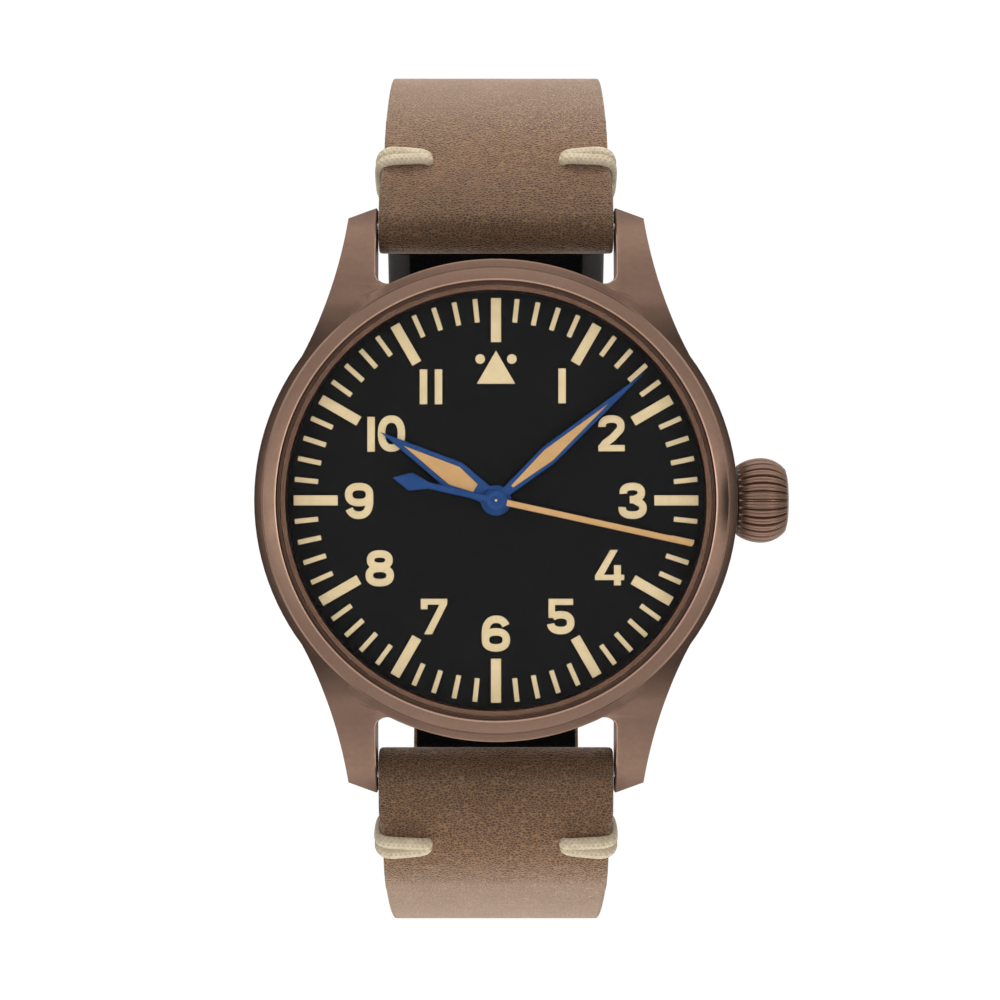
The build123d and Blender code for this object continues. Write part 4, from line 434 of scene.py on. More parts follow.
# Painted highlight: the shoulder at 12 and 6 o'clock made lighter.
ends = (1.3, [("X", True, 9, 3), ("Y", True, 16, 17)])
bronze = bronze_paint("aged_bronze", bronze_shades, 0.4)
case_bronze = bronze_paint("case_bronze", bronze_shades, 0.4, worn_at=[flank_painted_shade, lugs, lug_tip_painted_shade, ends])
bezel_bronze = bronze_paint("bezel_bronze", bronze_shades, 0.4, worn_at=[crown_side_painted_shade])
# Painted highlight on the bezel lip; the hand pin takes the same lighter bronze.
highlight_colours = rgb(190, 152, 132), rgb(202, 164, 143), rgb(212, 174, 153)
highlight_and_pin_bronze = bronze_paint("rubbed_bronze", highlight_colours, 0.3, lines=False)
# Painted highlight on the bezel's outer break.
break_highlight_colours = rgb(178, 142, 123), rgb(190, 153, 133), rgb(200, 163, 143)
edge_bronze = bronze_paint("edge_bronze", break_highlight_colours, 0.35, lines=False, worn_at=[break_highlight_fade])
# Painted highlight: a lighter bronze for the lugs' inner top edges.
lug_edge_highlight_colours = rgb(172, 138, 120), rgb(182, 147, 128), rgb(192, 156, 137)
lug_edge_bronze = bronze_paint("lug_edge_bronze", lug_edge_highlight_colours, 0.35, lines=False)
# Painted shade: a darker bronze for the recess inside the bezel lip and the ring round the dial.
painted_shade_colours = rgb(92, 69, 56), rgb(98, 74, 61), rgb(104, 79, 66)
bronze_dark = bronze_paint("shaded_bronze", painted_shade_colours, 0.4)

# Lume, dial, hands, crystal and the other metals and rubbers
lume_cream = lume_paint("cream_lume", rgb(195, 174, 133), rgb(208, 187, 146), rgb(218, 198, 160))
lume_tan = lume_paint("tan_lume", rgb(177, 138, 89), rgb(187, 147, 98), rgb(195, 156, 108))
black_dial = mottled_paint(
    "black_dial",
    (rgb(21, 21, 21), rgb(23, 23, 23), rgb(25, 25, 25)),
    (500.0, 12000.0, 0.6),
    0.000006,
    0.3,
    Roughness=0.8,
    Specular_IOR_Level=0.03,
)
blued = mottled_paint(
    "blued_steel",
    (rgb(25, 55, 101), rgb(29, 61, 109), rgb(35, 69, 120)),
    (700.0, 8000.0),
    0.000004,
    0.3,
    Metallic=0.4,
    Roughness=0.45,
    Specular_IOR_Level=0.15,
)
clear_crystal = crystal_paint()
brass = plain_metal("gilt_brass", rgb(214, 178, 110), 0.25)
plate = plain_metal("nickel_plate", rgb(200, 197, 190), 0.3)
steel = plain_metal("polished_steel", rgb(190, 190, 188), 0.22)
spring_steel = plain_metal("blued_spring", rgb(110, 116, 140), 0.25)
ruby = soft_paint("ruby", rgb(168, 30, 58), 0.1)
black_rubber = soft_paint("black_rubber", rgb(24, 24, 24), 0.6)
brown_gasket = soft_paint("brown_gasket", rgb(74, 55, 46), 0.6)
grey_spacer = soft_paint("grey_spacer", rgb(60, 60, 60), 0.5)

# Leather, its lining, the keepers and the cord
leather = leather_paint(
    "brown_leather",
    (rgb(70, 50, 39), rgb(84, 61, 47), rgb(98, 72, 56)),
    rgb(146, 112, 80),
    rgb(66, 48, 36),
    roughness=0.5,
    relief=0.00007,
    cell=4700.0,
    gloss=0.2,
    sheen=0.8,
)
lining = leather_paint(
    "black_lining",
    (rgb(9, 8, 8), rgb(14, 13, 13), rgb(22, 21, 20)),
    rgb(7, 6, 6),
    rgb(16, 15, 15),
    roughness=0.75,
    relief=0.00008,
    cell=2600.0,
    gloss=0.01,
)
keeper_tilt = radians(38)
keeper_leather = leather_paint(
    "keeper_leather",
    (rgb(92, 68, 54), rgb(112, 84, 66), rgb(130, 101, 80)),
    rgb(150, 118, 88),
    rgb(50, 47, 45),
    roughness=0.6,
    relief=0.00005,
    cell=3600.0,
    gloss=0.1,
    cut_along=(0, cos(keeper_tilt), sin(keeper_tilt)),
    lined=(0, -sin(keeper_tilt), cos(keeper_tilt)),
)
waxed_cord = cord_paint()

carried = {
    "bronze_satin": bronze,
    "bronze_dark": bronze_dark,
    "crystal_glass": clear_crystal,
    "dial_black": black_dial,
    "lume_cream": lume_cream,
    "lume_tan": lume_tan,
    "hand_blue": blued,
    "movement_plate": plate,
    "wheel_brass": brass,
    "steel_polished": steel,
    "spring_steel": spring_steel,
    "jewel_red": ruby,
    "gasket_rubber": black_rubber,
    "ring_plastic": grey_spacer,
    "strap_leather": leather,
    "lining_leather": lining,
    "cord_thread": waxed_cord,
}
slot_of = {entry["node"]: entry["material_slot"] for entry in frame["record"]["subparts"]}
body_of = {node: body for body, members in frame["record"]["behaviour"]["bodies"].items() for node in members}
for node, shape in nodes.items():
    shape.data.materials.clear()
    shape.data.materials.append(carried[slot_of[node]])


# Pieces and the ways to make their meshes
def finish_piece(name, mesh, material, node=None, body=None, smooth_angle=35):
    """Makes a mesh a piece: paints it, smooths it, rides it and lets it stand for its node."""
    mesh.materials.clear()
    mesh.materials.append(material)
    mesh.polygons.foreach_set("use_smooth", [True] * len(mesh.polygons))
    mesh.set_sharp_from_angle(angle=radians(smooth_angle))
    piece = stand(name, mesh)
    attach(piece, body or body_of[node])
    if node:
        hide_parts(node)
    return piece


def cleaned(mesh, merge=None):
    """A mesh with its faces turned outwards, after its doubles are merged within a distance."""
    shape = bmesh.new()
    shape.from_mesh(mesh)
    if merge:
        bmesh.ops.remove_doubles(shape, verts=shape.verts, dist=merge)
    bmesh.ops.recalc_face_normals(shape, faces=shape.faces)
    shape.to_mesh(mesh)
    shape.free()
    return mesh


def mesh_from(name, verts, faces):
    """A mesh from points in millimetres."""
    mesh = bpy.data.meshes.new(name)
    mesh.from_pydata([tuple(c * MM for c in v) for v in verts], [], faces)
    return cleaned(mesh)


def merged_copy(node):
    """A copy of a CAD node's triangles with their corners merged."""
    shape = bmesh.new()
    shape.from_mesh(nodes[node].data)
    bmesh.ops.remove_doubles(shape, verts=shape.verts, dist=0.000002)
    return shape


def as_mesh(name, shape):
    mesh = bpy.data.meshes.new(name)
    shape.to_mesh(mesh)
    shape.free()
    return mesh


def softened(node, width, steps, angle, material=None, where=None):
    """A copy of a CAD node with its edges, or those in one place, broken by a small round."""
    shape = merged_copy(node)
    bmesh.ops.dissolve_limit(shape, angle_limit=radians(1.0), verts=shape.verts, edges=shape.edges)
    sharp = [
        edge
        for edge in shape.edges
        if len(edge.link_faces) == 2
        and edge.calc_face_angle() > radians(angle)
        and (where is None or all(where(end.co) for end in edge.verts))
    ]
    bmesh.ops.bevel(
        shape,
        geom=sharp,
        offset=width * MM,
        segments=steps,
        profile=0.5,
        affect="EDGES",
        clamp_overlap=where is None,
    )
    bmesh.ops.triangulate(shape, faces=[face for face in shape.faces if len(face.verts) > 4])
    name = node + "_softened"
    return finish_piece(name, as_mesh(name, shape), material or carried[slot_of[node]], node)


def remeshed(node, voxel, passes, material=None, closed_at=()):
    """A copy of a leather node on an even grid, its cut edges rounded as on much-used leather."""
    shape = merged_copy(node)
    for matrix in closed_at:
        bmesh.ops.create_cube(shape, size=MM, matrix=matrix)
    block = stand(node + "_block", as_mesh(node + "_block", shape))
    grid = block.modifiers.new("grid", "REMESH")
    grid.mode = "VOXEL"
    grid.voxel_size = voxel * MM
    ease = block.modifiers.new("ease", "SMOOTH")
    ease.iterations = passes
    ease.factor = 0.5
    eased = worked_mesh(block)
    bpy.data.objects.remove(block)
    eased.name = node + "_leather"
    return finish_piece(node + "_leather", eased, material or carried[slot_of[node]], node, smooth_angle=60)


def rounded(points, radius):
    """A profile with each inner corner turned by a small arc."""
    steps = 3
    path = [points[0]]
    for before, corner, after in zip(points, points[1:], points[2:]):
        a = Vector(before) - Vector(corner)
        b = Vector(after) - Vector(corner)
        reach = min(radius, a.length * 0.45, b.length * 0.45)
        first = Vector(corner) + a.normalized() * reach
        last = Vector(corner) + b.normalized() * reach
        for step in range(steps + 1):
            t = step / steps
            place = first * (1 - t) ** 2 + Vector(corner) * 2 * t * (1 - t) + last * t**2
            path.append((place.x, place.y))
    path.append(points[-1])
    return path


def turned(name, profile, material, node=None, body=None, around=192):
    """A piece turned round Z from radius and height points in millimetres."""
    verts, faces = [], []
    count = len(profile)
    for turn in range(around):
        angle = 2 * pi * turn / around
        verts += [(r * cos(angle), r * sin(angle), z) for r, z in profile]
    for turn in range(around):
        here, there = turn * count, (turn + 1) % around * count
        for low in range(count - 1):
            up = low + 1
            faces.append((here + low, there + low, there + up, here + up))
    mesh = cleaned(mesh_from(name, verts, faces), 0.000001)
    return finish_piece(name, mesh, material, node, body)


# Bezel, crystal and the ring round the dial, turned with the small rounds that catch the light
bezel_profile = rounded(
    [
        (18.73, 7.69),
        (18.73, 7.015),
        (19.3, 7.015),
        (19.3, 8.62),
        (19.15, 8.77),
        (18.22, 9.09),
        (18.08, 9.05),
        (17.99, 8.94),
        (17.97, 8.9),
        (17.88, 8.9),
        (17.85, 8.95),
        (17.74, 8.95),
        (17.71, 7.94),
        (17.35, 7.94),
        (17.35, 7.69),
        (18.73, 7.69),
    ],
    0.035,
)
bezel_piece = turned("bezel_turned", bezel_profile, bezel_bronze, "bezel", around=256)
# Painted shade: the bezel's faces inside the lip take the darker bronze (index 1).
for material in (bronze_dark, highlight_and_pin_bronze, edge_bronze):
    bezel_piece.data.materials.append(material)
# Painted highlight: faces on the outer break above break_z take the break highlight bronze (index 3).
lip_inner, lip_outer, break_r, break_z = 18.1, 18.24, 19.12, 8.66
# Painted highlight: the lip takes the lighter bronze (index 2).
for face in bezel_piece.data.polygons:
    spot_r = Vector(face.center[:2]).length / MM
    if spot_r < lip_inner:
        face.material_index = 1
    elif spot_r < lip_outer:
        face.material_index = 2
    elif spot_r > break_r and face.center.z > break_z * MM:
        face.material_index = 3

dome_foot, dome_rise, dome_z = 17.5, 0.65, 8.94
dome_r = (dome_foot**2 + dome_rise**2) / (2 * dome_rise)
dome_turn = asin(dome_foot / dome_r)
dome_arc = [
    (dome_r * sin(dome_turn * k / 24), dome_z + dome_rise - dome_r + dome_r * cos(dome_turn * k / 24))
    for k in range(25)
]
crystal_profile = dome_arc + rounded([dome_arc[-1], (17.7, 8.74), (17.7, 7.95), (0, 7.95)], 0.05)[1:]
turned("crystal_domed", crystal_profile, clear_crystal, "crystal")
gasket_profile = rounded([(17.96, 8.89), (17.95, 8.92), (17.9, 8.92), (17.89, 8.89), (17.96, 8.89)], 0.02)
turned("gasket_line", gasket_profile, brown_gasket, "crystal_gasket")
ring_profile = rounded([(17.62, 6.32), (17.25, 6.32), (17.45, 7.67), (17.62, 7.67), (17.62, 6.32)], 0.04)
# Painted shade: the ring round the dial takes the darker bronze.
turned("flange_turned", ring_profile, bronze_dark, "flange_ring")


# Lume: every mark is a flat outline with a rounded rim
def raised_marks(name, loops):
    """Low raised marks on the dial from closed loops in millimetres."""
    rise, rim, middle_z = 0.1, 0.035, 6.36
    flat = bpy.data.curves.new(name, "CURVE")
    flat.dimensions = "2D"
    flat.fill_mode = "BOTH"
    flat.extrude = (rise / 2 - rim) * MM
    flat.bevel_depth = rim * MM
    flat.bevel_resolution = 2
    flat.offset = -rim * MM
    for loop in loops:
        line = flat.splines.new("POLY")
        line.points.add(len(loop) - 1)
        for point, (x, y) in zip(line.points, loop):
            point.co = (x * MM, y * MM, 0, 1)
        line.use_cyclic_u = True
    sheet = stand(name, flat)
    mesh = worked_mesh(sheet)
    bpy.data.objects.remove(sheet)
    cleaned(mesh, 0.0000005)
    for vert in mesh.vertices:
        vert.co.z += middle_z * MM
    return mesh


def ribbon(centre, half):
    """The outline of a stroke of even width along a centre line."""
    left, right = [], []
    for index, place in enumerate(centre):
        before = Vector(centre[max(index - 1, 0)])
        after = Vector(centre[min(index + 1, len(centre) - 1)])
        run = (after - before).normalized()
        left.append((place[0] - run.y * half, place[1] + run.x * half))
        right.append((place[0] + run.y * half, place[1] - run.x * half))
    return left + right[::-1]


def joined(shapes):
    """The outer and inner loops of overlapping outlines laid together."""
    spots, areas = [], []
    for outline in shapes:
        turn = sum(a[0] * b[1] - b[0] * a[1] for a, b in zip(outline, outline[1:] + outline[:1]))
        areas.append(list(range(len(spots), len(spots) + len(outline))))
        spots += [Vector(p) for p in (outline if turn > 0 else outline[::-1])]
    found, _, faces, _, _, sources = geometry.delaunay_2d_cdt(spots, [], areas, 0, 0.0005)
    edges = set()
    for face, source in zip(faces, sources):
        if source:
            edges.update(zip(face, face[1:] + face[:1]))
    border = {a: b for a, b in edges if (b, a) not in edges}
    loops = []
    while border:
        start = next(iter(border))
        loop, here = [], start
        while here in border:
            loop.append(tuple(found[here]))
            here = border.pop(here)
        loops.append(loop)
    return loops


def bow(centre, rx, ry, start, stop):
    """A stretch of a squarish oval, its angles in degrees from X towards Y."""
    squareness, steps = 2.35, 28
    points = []
    for step in range(steps + 1):
        angle = radians(start + (stop - start) * step / steps)
        c, s = cos(angle), sin(angle)
        reach = (abs(c) ** squareness + abs(s) ** squareness) ** (-1 / squareness)
        points.append((centre[0] + rx * reach * c, centre[1] + ry * reach * s))
    return points


def oval_ring(centre, rx, ry, half):
    """A closed ring as two half ribbons."""
    return [
        ribbon(bow(centre, rx, ry, -4, 184), half),
        ribbon(bow(centre, rx, ry, 176, 364), half),
    ]


def block(left, low, right, top):
    return [(left, low), (right, low), (right, top), (left, top)]


def glyph(sign):
    """The strokes of a numeral, in pixels of the photograph's dial, from its low left corner."""
    half = 3.75
    if sign == "1":
        return [block(0, 0, 7.5, 34.8)]
    if sign == "0":
        return oval_ring((13.6, 18.1), 9.9, 14.4, half)
    if sign == "2":
        top = bow((13.1, 25.2), 9.4, 7.1, 187, -32)
        return [ribbon(top + [(14.2, 13.6), (6.4, 7.6), (3.6, 3.4)], half), block(0, 0, 26.4, 6.3)]
    if sign == "3":
        upper = bow((13.6, 26.1), 9.0, 6.2, 190, -62) + [(15.2, 19.2), (11, 19.2)]
        lower = [(11, 19.2), (15.2, 19.2)] + bow((13.9, 10.6), 10.4, 6.9, 62, -190)
        return [ribbon(upper, half), ribbon(lower, half)]
    if sign == "4":
        slope = [(0, 5.3), (7.4, 8.0), (22.8, 35.4), (15.2, 35.4), (0, 9.4)]
        return [block(0, 5.3, 29.2, 10.6), block(18.9, 0, 25.9, 20.2), slope]
    if sign == "5":
        bowl = ribbon(bow((13.0, 11.6), 10.0, 7.9, 142, -172), half)
        return [block(0.8, 29.2, 25.4, 35.4), block(0.8, 16.4, 7.3, 35.4), bowl]
    if sign == "6":
        stem = ribbon([(4.0, 11.6)] + bow((14.8, 18.0), 10.8, 14.2, 180, 32), half)
        return oval_ring((14.4, 11.6), 10.4, 8.0, half) + [stem]
    if sign == "7":
        slope = [(3.4, 0), (11.3, 0), (26.4, 29.8), (26.4, 32.4), (19.4, 32.4), (19.4, 31.0)]
        return [block(0, 29.6, 26.4, 35.4), block(0, 25.0, 6.8, 35.4), slope]
    if sign == "8":
        return oval_ring((14.1, 26.2), 9.2, 6.2, half) + oval_ring((14.1, 10.9), 10.4, 7.2, half)
    return [[(29.2 - x, 35.8 - y) for x, y in outline] for outline in glyph("6")]


# Numerals: their low left corners in pixels right of and above the hands' centre
numeral_places = [
    ("1", 62.2, 96.9), ("2", 102.1, 49.0), ("3", 122.4, -18.4), ("4", 98.8, -84.8), ("5", 51.6, -133.6),
    ("6", -14.5, -150.8), ("7", -75.1, -133.6), ("8", -130.1, -85.8), ("9", -151.4, -18.4),
    ("1", -128.4, 48.6), ("0", -117.9, 48.6), ("1", -76.1, 96.0), ("1", -61.1, 96.0),
]
PX_PER_MM = 12.06
numeral_loops = []
for sign, left, low in numeral_places:
    for outline in joined(glyph(sign)):
        numeral_loops.append([((left + x) / PX_PER_MM, (low + y) / PX_PER_MM) for x, y in outline])
numerals = raised_marks("numerals", numeral_loops)
finish_piece("numerals", numerals, lume_cream, body="case", smooth_angle=50)

triangle = [(-1.59, 9.65), (1.59, 9.65), (0, 12.4)]
dot_x, dot_y, dot_r = 1.31, 11.7, 0.4
dots = [
    [(x + dot_r * cos(k * pi / 20), dot_y + dot_r * sin(k * pi / 20)) for k in range(40)]
    for x in (-dot_x, dot_x)
]
twelve = raised_marks("twelve_marks", [triangle] + dots)


def set_inputs(modifier, tree, **values):
    for item in tree.interface.items_tree:
        if item.item_type == "SOCKET" and item.in_out == "INPUT":
            key = item.name.replace(" ", "_")
            if key in values:
                modifier[item.identifier] = values[key]


def bar_tree():
    """Stands copies of one bar round the dial, leaving out those that aren't wanted."""
    tree = bpy.data.node_groups.new("bars_round_dial", "GeometryNodeTree")
    kinds = {"Geometry": "Geometry", "Count": "Int", "Leave out each": "Int", "Material": "Material"}
    for label, kind in kinds.items():
        tree.interface.new_socket(label, in_out="INPUT", socket_type="NodeSocket" + kind)
    tree.interface.new_socket("Geometry", in_out="OUTPUT", socket_type="NodeSocketGeometry")
    given = tree.nodes.new("NodeGroupInput").outputs
    end = tree.nodes.new("NodeGroupOutput").inputs
    spots = add_node(tree, "GeometryNodeMeshLine", {"mode": "OFFSET"}, Count=given["Count"], Offset=(0, 0, 0))
    index = add_node(tree, "GeometryNodeInputIndex").outputs[0]
    each = reckon(tree, "DIVIDE", 2 * pi, given["Count"])
    spin = add_node(tree, "ShaderNodeCombineXYZ", Z=reckon(tree, "MULTIPLY", index, each))
    rest = reckon(tree, "MODULO", index, given["Leave out each"])
    copies = add_node(
        tree,
        "GeometryNodeInstanceOnPoints",
        Points=spots.outputs[0],
        Selection=reckon(tree, "GREATER_THAN", rest, 0.5),
        Instance=given["Geometry"],
        Rotation=spin.outputs[0],
    )
    solid = add_node(tree, "GeometryNodeRealizeInstances", Geometry=copies.outputs[0])
    painted = add_node(
        tree, "GeometryNodeSetMaterial", Geometry=solid.outputs[0], Material=given["Material"]
    )
    tree.links.new(painted.outputs[0], end["Geometry"])
    return tree


bars = bar_tree()
bar_foot, minute_foot, bar_end = 13.1, 14.8, 16.75
hour_width, minute_width = 0.84, 0.41


def bar_ring(name, inner, width, count, leave_out):
    one = raised_marks(name + "_one", [block(-width / 2, inner, width / 2, bar_end)])
    holder = stand(name + "_one", one)
    spread = holder.modifiers.new("bars", "NODES")
    spread.node_group = bars
    set_inputs(spread, bars, Count=count, Leave_out_each=leave_out, Material=lume_cream)
    mesh = worked_mesh(holder)
    bpy.data.objects.remove(holder)
    return mesh


hour_bars = bar_ring("hour_bars", bar_foot, hour_width, 12, 100)
minute_bars = bar_ring("minute_bars", minute_foot, minute_width, 60, 5)
first_bar = raised_marks("bar_12", [block(-hour_width / 2, bar_foot, hour_width / 2, bar_end)])
marks = bmesh.new()
for mesh in (hour_bars, minute_bars, first_bar, twelve):
    marks.from_mesh(mesh)
finish_piece("dial_marks", as_mesh("dial_marks", marks), lume_cream, "dial_markers", smooth_angle=50)

for node in ("hour_hand", "minute_hand", "seconds_hand"):
    softened(node, 0.05, 2, 40)
for node in ("hour_hand_lume", "minute_hand_lume", "seconds_hand_lume"):
    softened(node, 0.03, 2, 40)

hub_profile = rounded(
    [
        (0, 7.72), (0.13, 7.72), (0.13, 7.68), (0.24, 7.68), (0.24, 7.73), (0.33, 7.73),
        (0.33, 7.66), (0.7, 7.66), (0.7, 7.675), (0.78, 7.675), (0.78, 7.6), (0, 7.6),
    ],
    0.02,
)
turned("hand_hub_cap", hub_profile, blued, body="seconds", around=96)
pin_profile = rounded([(0, 7.76), (0.1, 7.76), (0.12, 7.7), (0.12, 7.6), (0, 7.6)], 0.02)
# The pin takes the lighter bronze of the lip's painted highlight.
turned("hand_hub_pin", pin_profile, highlight_and_pin_bronze, body="seconds", around=48)


# Crown: a barrel whose radius is cut by broad flutes with fine lines between
def crown_mesh():
    start_x, length, axis_z = 20.15, 4.25, 3.7
    base_r, belly_r, end_r, end_dome = 2.9, 3.55, 2.6, 0.2
    around, along, flutes = 480, 40, 30
    flute_depth, line_depth = 0.26, 0.07
    belly_x = 0.48 * length
    barrel_end = length - end_dome
    verts, faces = [], []

    def ring(x, radii):
        start = len(verts)
        for turn, r in enumerate(radii):
            angle = 2 * pi * turn / around
            verts.append((start_x + x, r * cos(angle), axis_z + r * sin(angle)))
        return start

    def band(first, second, inside=False):
        for turn in range(around):
            nxt = (turn + 1) % around
            if inside:
                faces.append((first + turn, second + turn, second + nxt, first + nxt))
            else:
                faces.append((first + turn, first + nxt, second + nxt, second + turn))

    def fluted(x):
        """The radii round one place along the barrel, fading out towards its ends."""
        fall, reach = (belly_r - base_r, belly_x) if x < belly_x else (belly_r - end_r, barrel_end - belly_x)
        bend = (fall**2 + reach**2) / (2 * fall)
        r = belly_r - bend + (bend**2 - (x - belly_x) ** 2) ** 0.5
        fade = min(1, x / 0.35, (barrel_end - x) / 0.2 + 0.35)
        for turn in range(around):
            phase = flutes * turn / around % 1
            broad = max(0, 1 - abs(phase - 0.5) / 0.2)
            fine = max(0, 1 - min(phase, 1 - phase) / 0.08)
            yield r - fade * (flute_depth * min(1, 1.5 * broad) + line_depth * fine)

    rows = [ring(x, fluted(x)) for x in (barrel_end * step / along for step in range(along + 1))]
    end_rings = ((length - 0.06, 0.8 * end_r), (length, 0.55 * end_r), (length, 0.02))
    rows += [ring(x, [r] * around) for x, r in end_rings]
    for first, second in zip(rows, rows[1:]):
        band(first, second)
    hollow = [0] + [ring(x, [r] * around) for x, r in ((0.02, 1.8), (2.6, 1.8), (2.6, 0.55))]
    for first, second in zip(hollow, hollow[1:]):
        band(first, second, inside=True)
    return mesh_from("crown_fluted", verts, faces)


finish_piece("crown_fluted", crown_mesh(), bronze, "crown", smooth_angle=40)


# Case, back, buckle: the CAD forms with their edges broken
def between_lugs(spot, half_gap=10.1):
    """Says whether a place lies between two lugs, on their inner faces or beside them."""
    return abs(spot.x) < half_gap * MM and abs(spot.y) > 15.5 * MM


case_piece = softened("case_middle", 0.12, 2, 32, case_bronze, between_lugs)
case_piece.data.set_sharp_from_angle(angle=radians(17))
even = case_piece.modifiers.new("even", "WEIGHTED_NORMAL")
even.keep_sharp = True
case_mesh = worked_mesh(case_piece)
case_piece.modifiers.remove(even)
case_piece.data = case_mesh
# Painted highlight: the bevelled inner top edges of the lugs take the lighter bronze.
case_mesh.materials.append(lug_edge_bronze)
for face in case_mesh.polygons:
    if between_lugs(face.center, 10.2) and abs(face.normal.x) > 0.25 and face.normal.z > 0.25:
        face.material_index = 1
softened("case_back", 0.08, 2, 32)
softened("buckle_frame", 0.2, 3, 40)
softened("buckle_tang", 0.15, 3, 40)


# Leather, on the same line of arcs as the strap
def follow(arcs, radius, heading):
    (y, z), last_r, _, turn = arcs[-1]
    shift = last_r - radius
    arcs.append(((y + shift * sin(radians(turn)), z + shift * cos(radians(turn))), radius, turn, heading))


fold = ((23.0, 2.2), 2.2, 0)
short_arcs = [(*fold, 30)]
follow(short_arcs, 48.0, 38)
follow(short_arcs, 16.5, 62)
long_arcs = [(*fold, 10)]
follow(long_arcs, 40.0, 18)
follow(long_arcs, 6.5, 66)


def on_strap(arcs, distance):
    """Place and heading at a distance from the end of the fold."""
    for (y, z), radius, turn, heading in arcs[1:]:
        length = radius * radians(heading - turn)
        if distance <= length:
            turn += degrees(distance / radius)
            return (y + radius * sin(radians(turn)), z + radius * cos(radians(turn))), turn
        distance -= length


def stitch_frame(arcs, side, distance):
    """The strap's run and outward way, and the place on its surface, at a distance from the fold."""
    place, heading = on_strap(arcs, distance)
    run = Vector((0, side * cos(radians(heading)), -sin(radians(heading))))
    out = Vector((0, side * sin(radians(heading)), cos(radians(heading))))
    return run, out, Vector((0, side * place[0], place[1]))


def slot_fillings(arcs, side):
    """Blocks that draw the leather close round the cord where it goes through."""
    slot_along, slot_across, slot_depth = 6.4, 5.4, 0.76
    size = Matrix.Diagonal((1.3, 2.9, 1.48, 1))
    run, out, origin = stitch_frame(arcs, side, slot_along)
    turn = Matrix((Vector((1, 0, 0)), run, out)).transposed().to_4x4()
    blocks = []
    for hand in (-1, 1):
        centre = (origin - out * slot_depth + Vector((hand * slot_across, 0, 0))) * MM
        blocks.append(Matrix.Translation(centre) @ turn @ size)
    return blocks


remeshed("strap_short", 0.22, 1, closed_at=slot_fillings(short_arcs, 1))
remeshed("strap_long", 0.27, 1, closed_at=slot_fillings(long_arcs, -1))
remeshed("strap_short_lining", 0.2, 2)
remeshed("strap_long_lining", 0.25, 2)
remeshed("fixed_keeper", 0.18, 4, keeper_leather)
remeshed("free_keeper", 0.18, 4, keeper_leather)


# Stitch cords: a flat waxed braid, twice round each edge of the strap
def stitch_route(arcs, side, hand):
    stitch_along = 5.83
    run, out, origin = stitch_frame(arcs, side, stitch_along)

    def spot(along, across, away):
        return origin + run * along + out * away + Vector((hand * across, 0, 0))

    top, bottom, edge, hole = 0.26, -4.7, 9.82, 5.6
    return run, [
        spot(0.15, hole, bottom + 0.6), spot(0.15, hole, -2.0), spot(0.1, hole, top - 0.5),
        spot(0.24, hole + 0.35, top), spot(0.46, 7.8, top), spot(0.56, edge - 0.7, top - 0.02),
        spot(0.4, edge + 0.05, top - 0.6), spot(0.36, edge + 0.06, -2.2), spot(0.3, edge, bottom + 0.5),
        spot(0.1, edge - 0.7, bottom), spot(-0.05, 7.8, bottom), spot(-0.2, hole + 0.6, bottom),
        spot(-0.2, hole, bottom + 0.6), spot(-0.2, hole, -2.0), spot(-0.16, hole - 0.05, top - 0.5),
        spot(-0.26, hole + 0.3, top + 0.08), spot(-0.4, 7.8, top + 0.1), spot(-0.44, edge - 0.7, top + 0.06),
        spot(-0.38, edge + 0.08, top - 0.6), spot(-0.4, edge + 0.1, -2.2), spot(-0.36, edge, bottom + 0.5),
        spot(-0.5, edge - 0.7, bottom), spot(-0.7, 7.8, bottom), spot(-0.8, hole + 1.2, bottom),
    ]


def smooth_route(points, spacing):
    """Even steps in millimetres along a smooth line through the points."""
    line = bpy.data.curves.new("route", "CURVE")
    line.dimensions = "3D"
    spline = line.splines.new("NURBS")
    spline.points.add(len(points) - 1)
    for point, place in zip(spline.points, points):
        point.co = (*(place * MM), 1)
    spline.order_u = 3
    spline.use_endpoint_u = True
    spline.resolution_u = 12
    holder = stand("route", line)
    raw = [vert.co / MM for vert in worked_mesh(holder).vertices]
    bpy.data.objects.remove(holder)
    even, walked = [raw[0]], 0.0
    for a, b in zip(raw, raw[1:]):
        step = (b - a).length
        while walked + step >= spacing:
            a = a + (b - a).normalized() * (spacing - walked)
            even.append(a.copy())
            step = (b - a).length
            walked = 0.0
        walked += step
    return even


def braided_cord(points, along, half_width, half_height, verts, faces, uvs):
    """A soft flattened tube round the strap, its wider way along the strap."""
    spacing, sides = 0.16, 14
    line = smooth_route(points, spacing)
    start = len(verts)
    for index, here in enumerate(line):
        run = (line[min(index + 1, len(line) - 1)] - line[max(index - 1, 0)]).normalized()
        wide = (along - run * along.dot(run)).normalized()
        flat = wide.cross(run)
        for turn in range(sides):
            angle = 2 * pi * turn / sides
            verts.append(here + wide * cos(angle) * half_width + flat * sin(angle) * half_height)
    for row in range(len(line) - 1):
        for turn in range(sides):
            nxt = (turn + 1) % sides
            a = start + row * sides
            faces.append((a + turn, a + nxt, a + sides + nxt, a + sides + turn))
            u, v = row * spacing, turn / sides
            uvs.append(((u, v), (u, v + 1 / sides), (u + spacing, v + 1 / sides), (u + spacing, v)))
    for ring in (range(start + sides - 1, start - 1, -1), range(len(verts) - sides, len(verts))):
        faces.append(tuple(ring))
        uvs.append(((0, 0),) * sides)


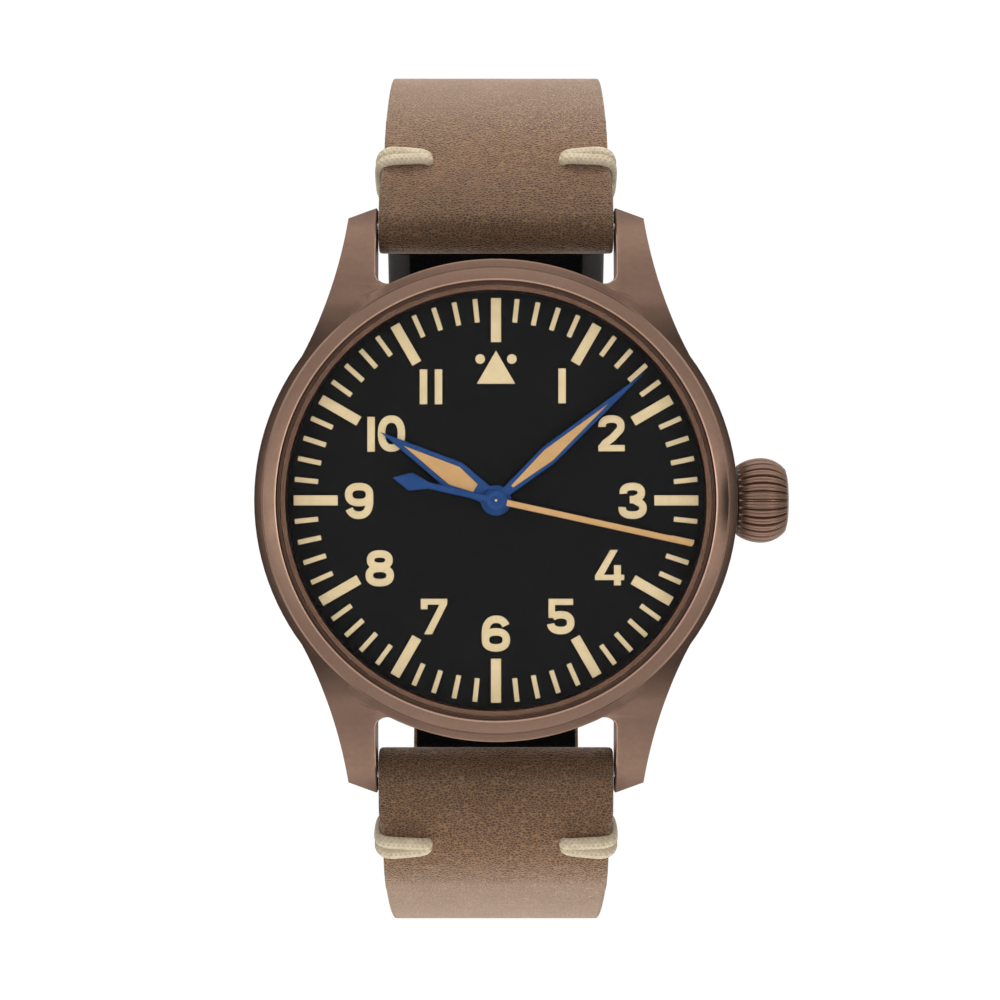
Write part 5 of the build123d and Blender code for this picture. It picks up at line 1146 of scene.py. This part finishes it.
def stitch_mesh():
    half_width, half_height = 0.56, 0.38
    verts, faces, uvs = [], [], []
    for arcs, side in ((short_arcs, 1), (long_arcs, -1)):
        for hand in (-1, 1):
            along, points = stitch_route(arcs, side, hand)
            braided_cord(points, along, half_width, half_height, verts, faces, uvs)
    mesh = bpy.data.meshes.new("stitch_cords")
    mesh.from_pydata([tuple(v * MM) for v in verts], [], faces)
    layer = mesh.uv_layers.new(name="along")
    for polygon, corners in zip(mesh.polygons, uvs):
        for loop, corner in zip(polygon.loop_indices, corners):
            layer.data[loop].uv = corner
    return mesh


finish_piece("stitch_cords", stitch_mesh(), waxed_cord, "strap_cords", smooth_angle=60)


# Floor, world and lamps
def floor_paint():
    """Pale ground that keeps the shadow, and shows white to the camera, in gloss and through glass."""
    paint = Paint("pale_floor", Base_Color=(0.85, 0.85, 0.85, 1), Roughness=0.9, Specular_IOR_Level=0.1)
    path = add_node(paint.tree, "ShaderNodeLightPath").outputs
    first = reckon(paint.tree, "MAXIMUM", path["Is Camera Ray"], path["Is Glossy Ray"])
    seen = reckon(paint.tree, "MAXIMUM", first, path["Is Transmission Ray"])
    glow = add_node(paint.tree, "ShaderNodeEmission", Color=(1, 1, 1, 1), Strength=1.04)
    paint.give_way(reckon(paint.tree, "MULTIPLY", seen, 0.93), glow.outputs[0])
    return paint.material


def studio():
    size, depth = 0.22, -0.0635
    sheet = bpy.data.meshes.new("floor")
    corners = [(-size, -size, depth), (size, -size, depth), (size, size, depth), (-size, size, depth)]
    sheet.from_pydata(corners, [], [(0, 1, 2, 3)])
    sheet.materials.append(floor_paint())
    stand("floor", sheet)
    world = bpy.data.worlds.new("studio")
    bpy.context.scene.world = world
    world.use_nodes = True
    tree = world.node_tree
    tree.nodes.clear()
    way = add_node(tree, "ShaderNodeTexCoord").outputs["Generated"]
    parts = add_node(tree, "ShaderNodeSeparateXYZ", Vector=way).outputs
    shares = []
    for axis, gain in (("X", -0.3), ("Y", 1.05)):
        square = reckon(tree, "MULTIPLY", parts[axis], parts[axis])
        shares.append(reckon(tree, "MULTIPLY", square, gain))
    lit = reckon(tree, "ADD", reckon(tree, "ADD", *shares), 0.5)
    seen = add_node(tree, "ShaderNodeLightPath").outputs["Is Camera Ray"]
    level = ranged(tree, seen, To_Min=lit, To_Max=1.0)
    sky = add_node(tree, "ShaderNodeBackground", Color=(1, 1, 1, 1), Strength=level)
    end = tree.nodes.new("ShaderNodeOutputWorld")
    tree.links.new(sky.outputs[0], end.inputs["Surface"])
    softbox("box_above", (0, 0.5, 0.0), (0.6, 0.12), 2.2, mirrored=False)
    softbox("box_below", (0, -0.5, 0.0), (0.6, 0.12), 2.2, mirrored=False)
    softbox("box_left", (-0.35, 0, 0.48), (0.2, 0.2), 0.38)
    softbox("box_right", (0.35, 0, 0.48), (0.2, 0.2), 0.38)
    softbox("box_over", (0, 0, 0.62), (0.5, 0.5), 0.8, mirrored=False)


look_down()
studio()
bpy.context.scene.view_settings.view_transform = "Standard"
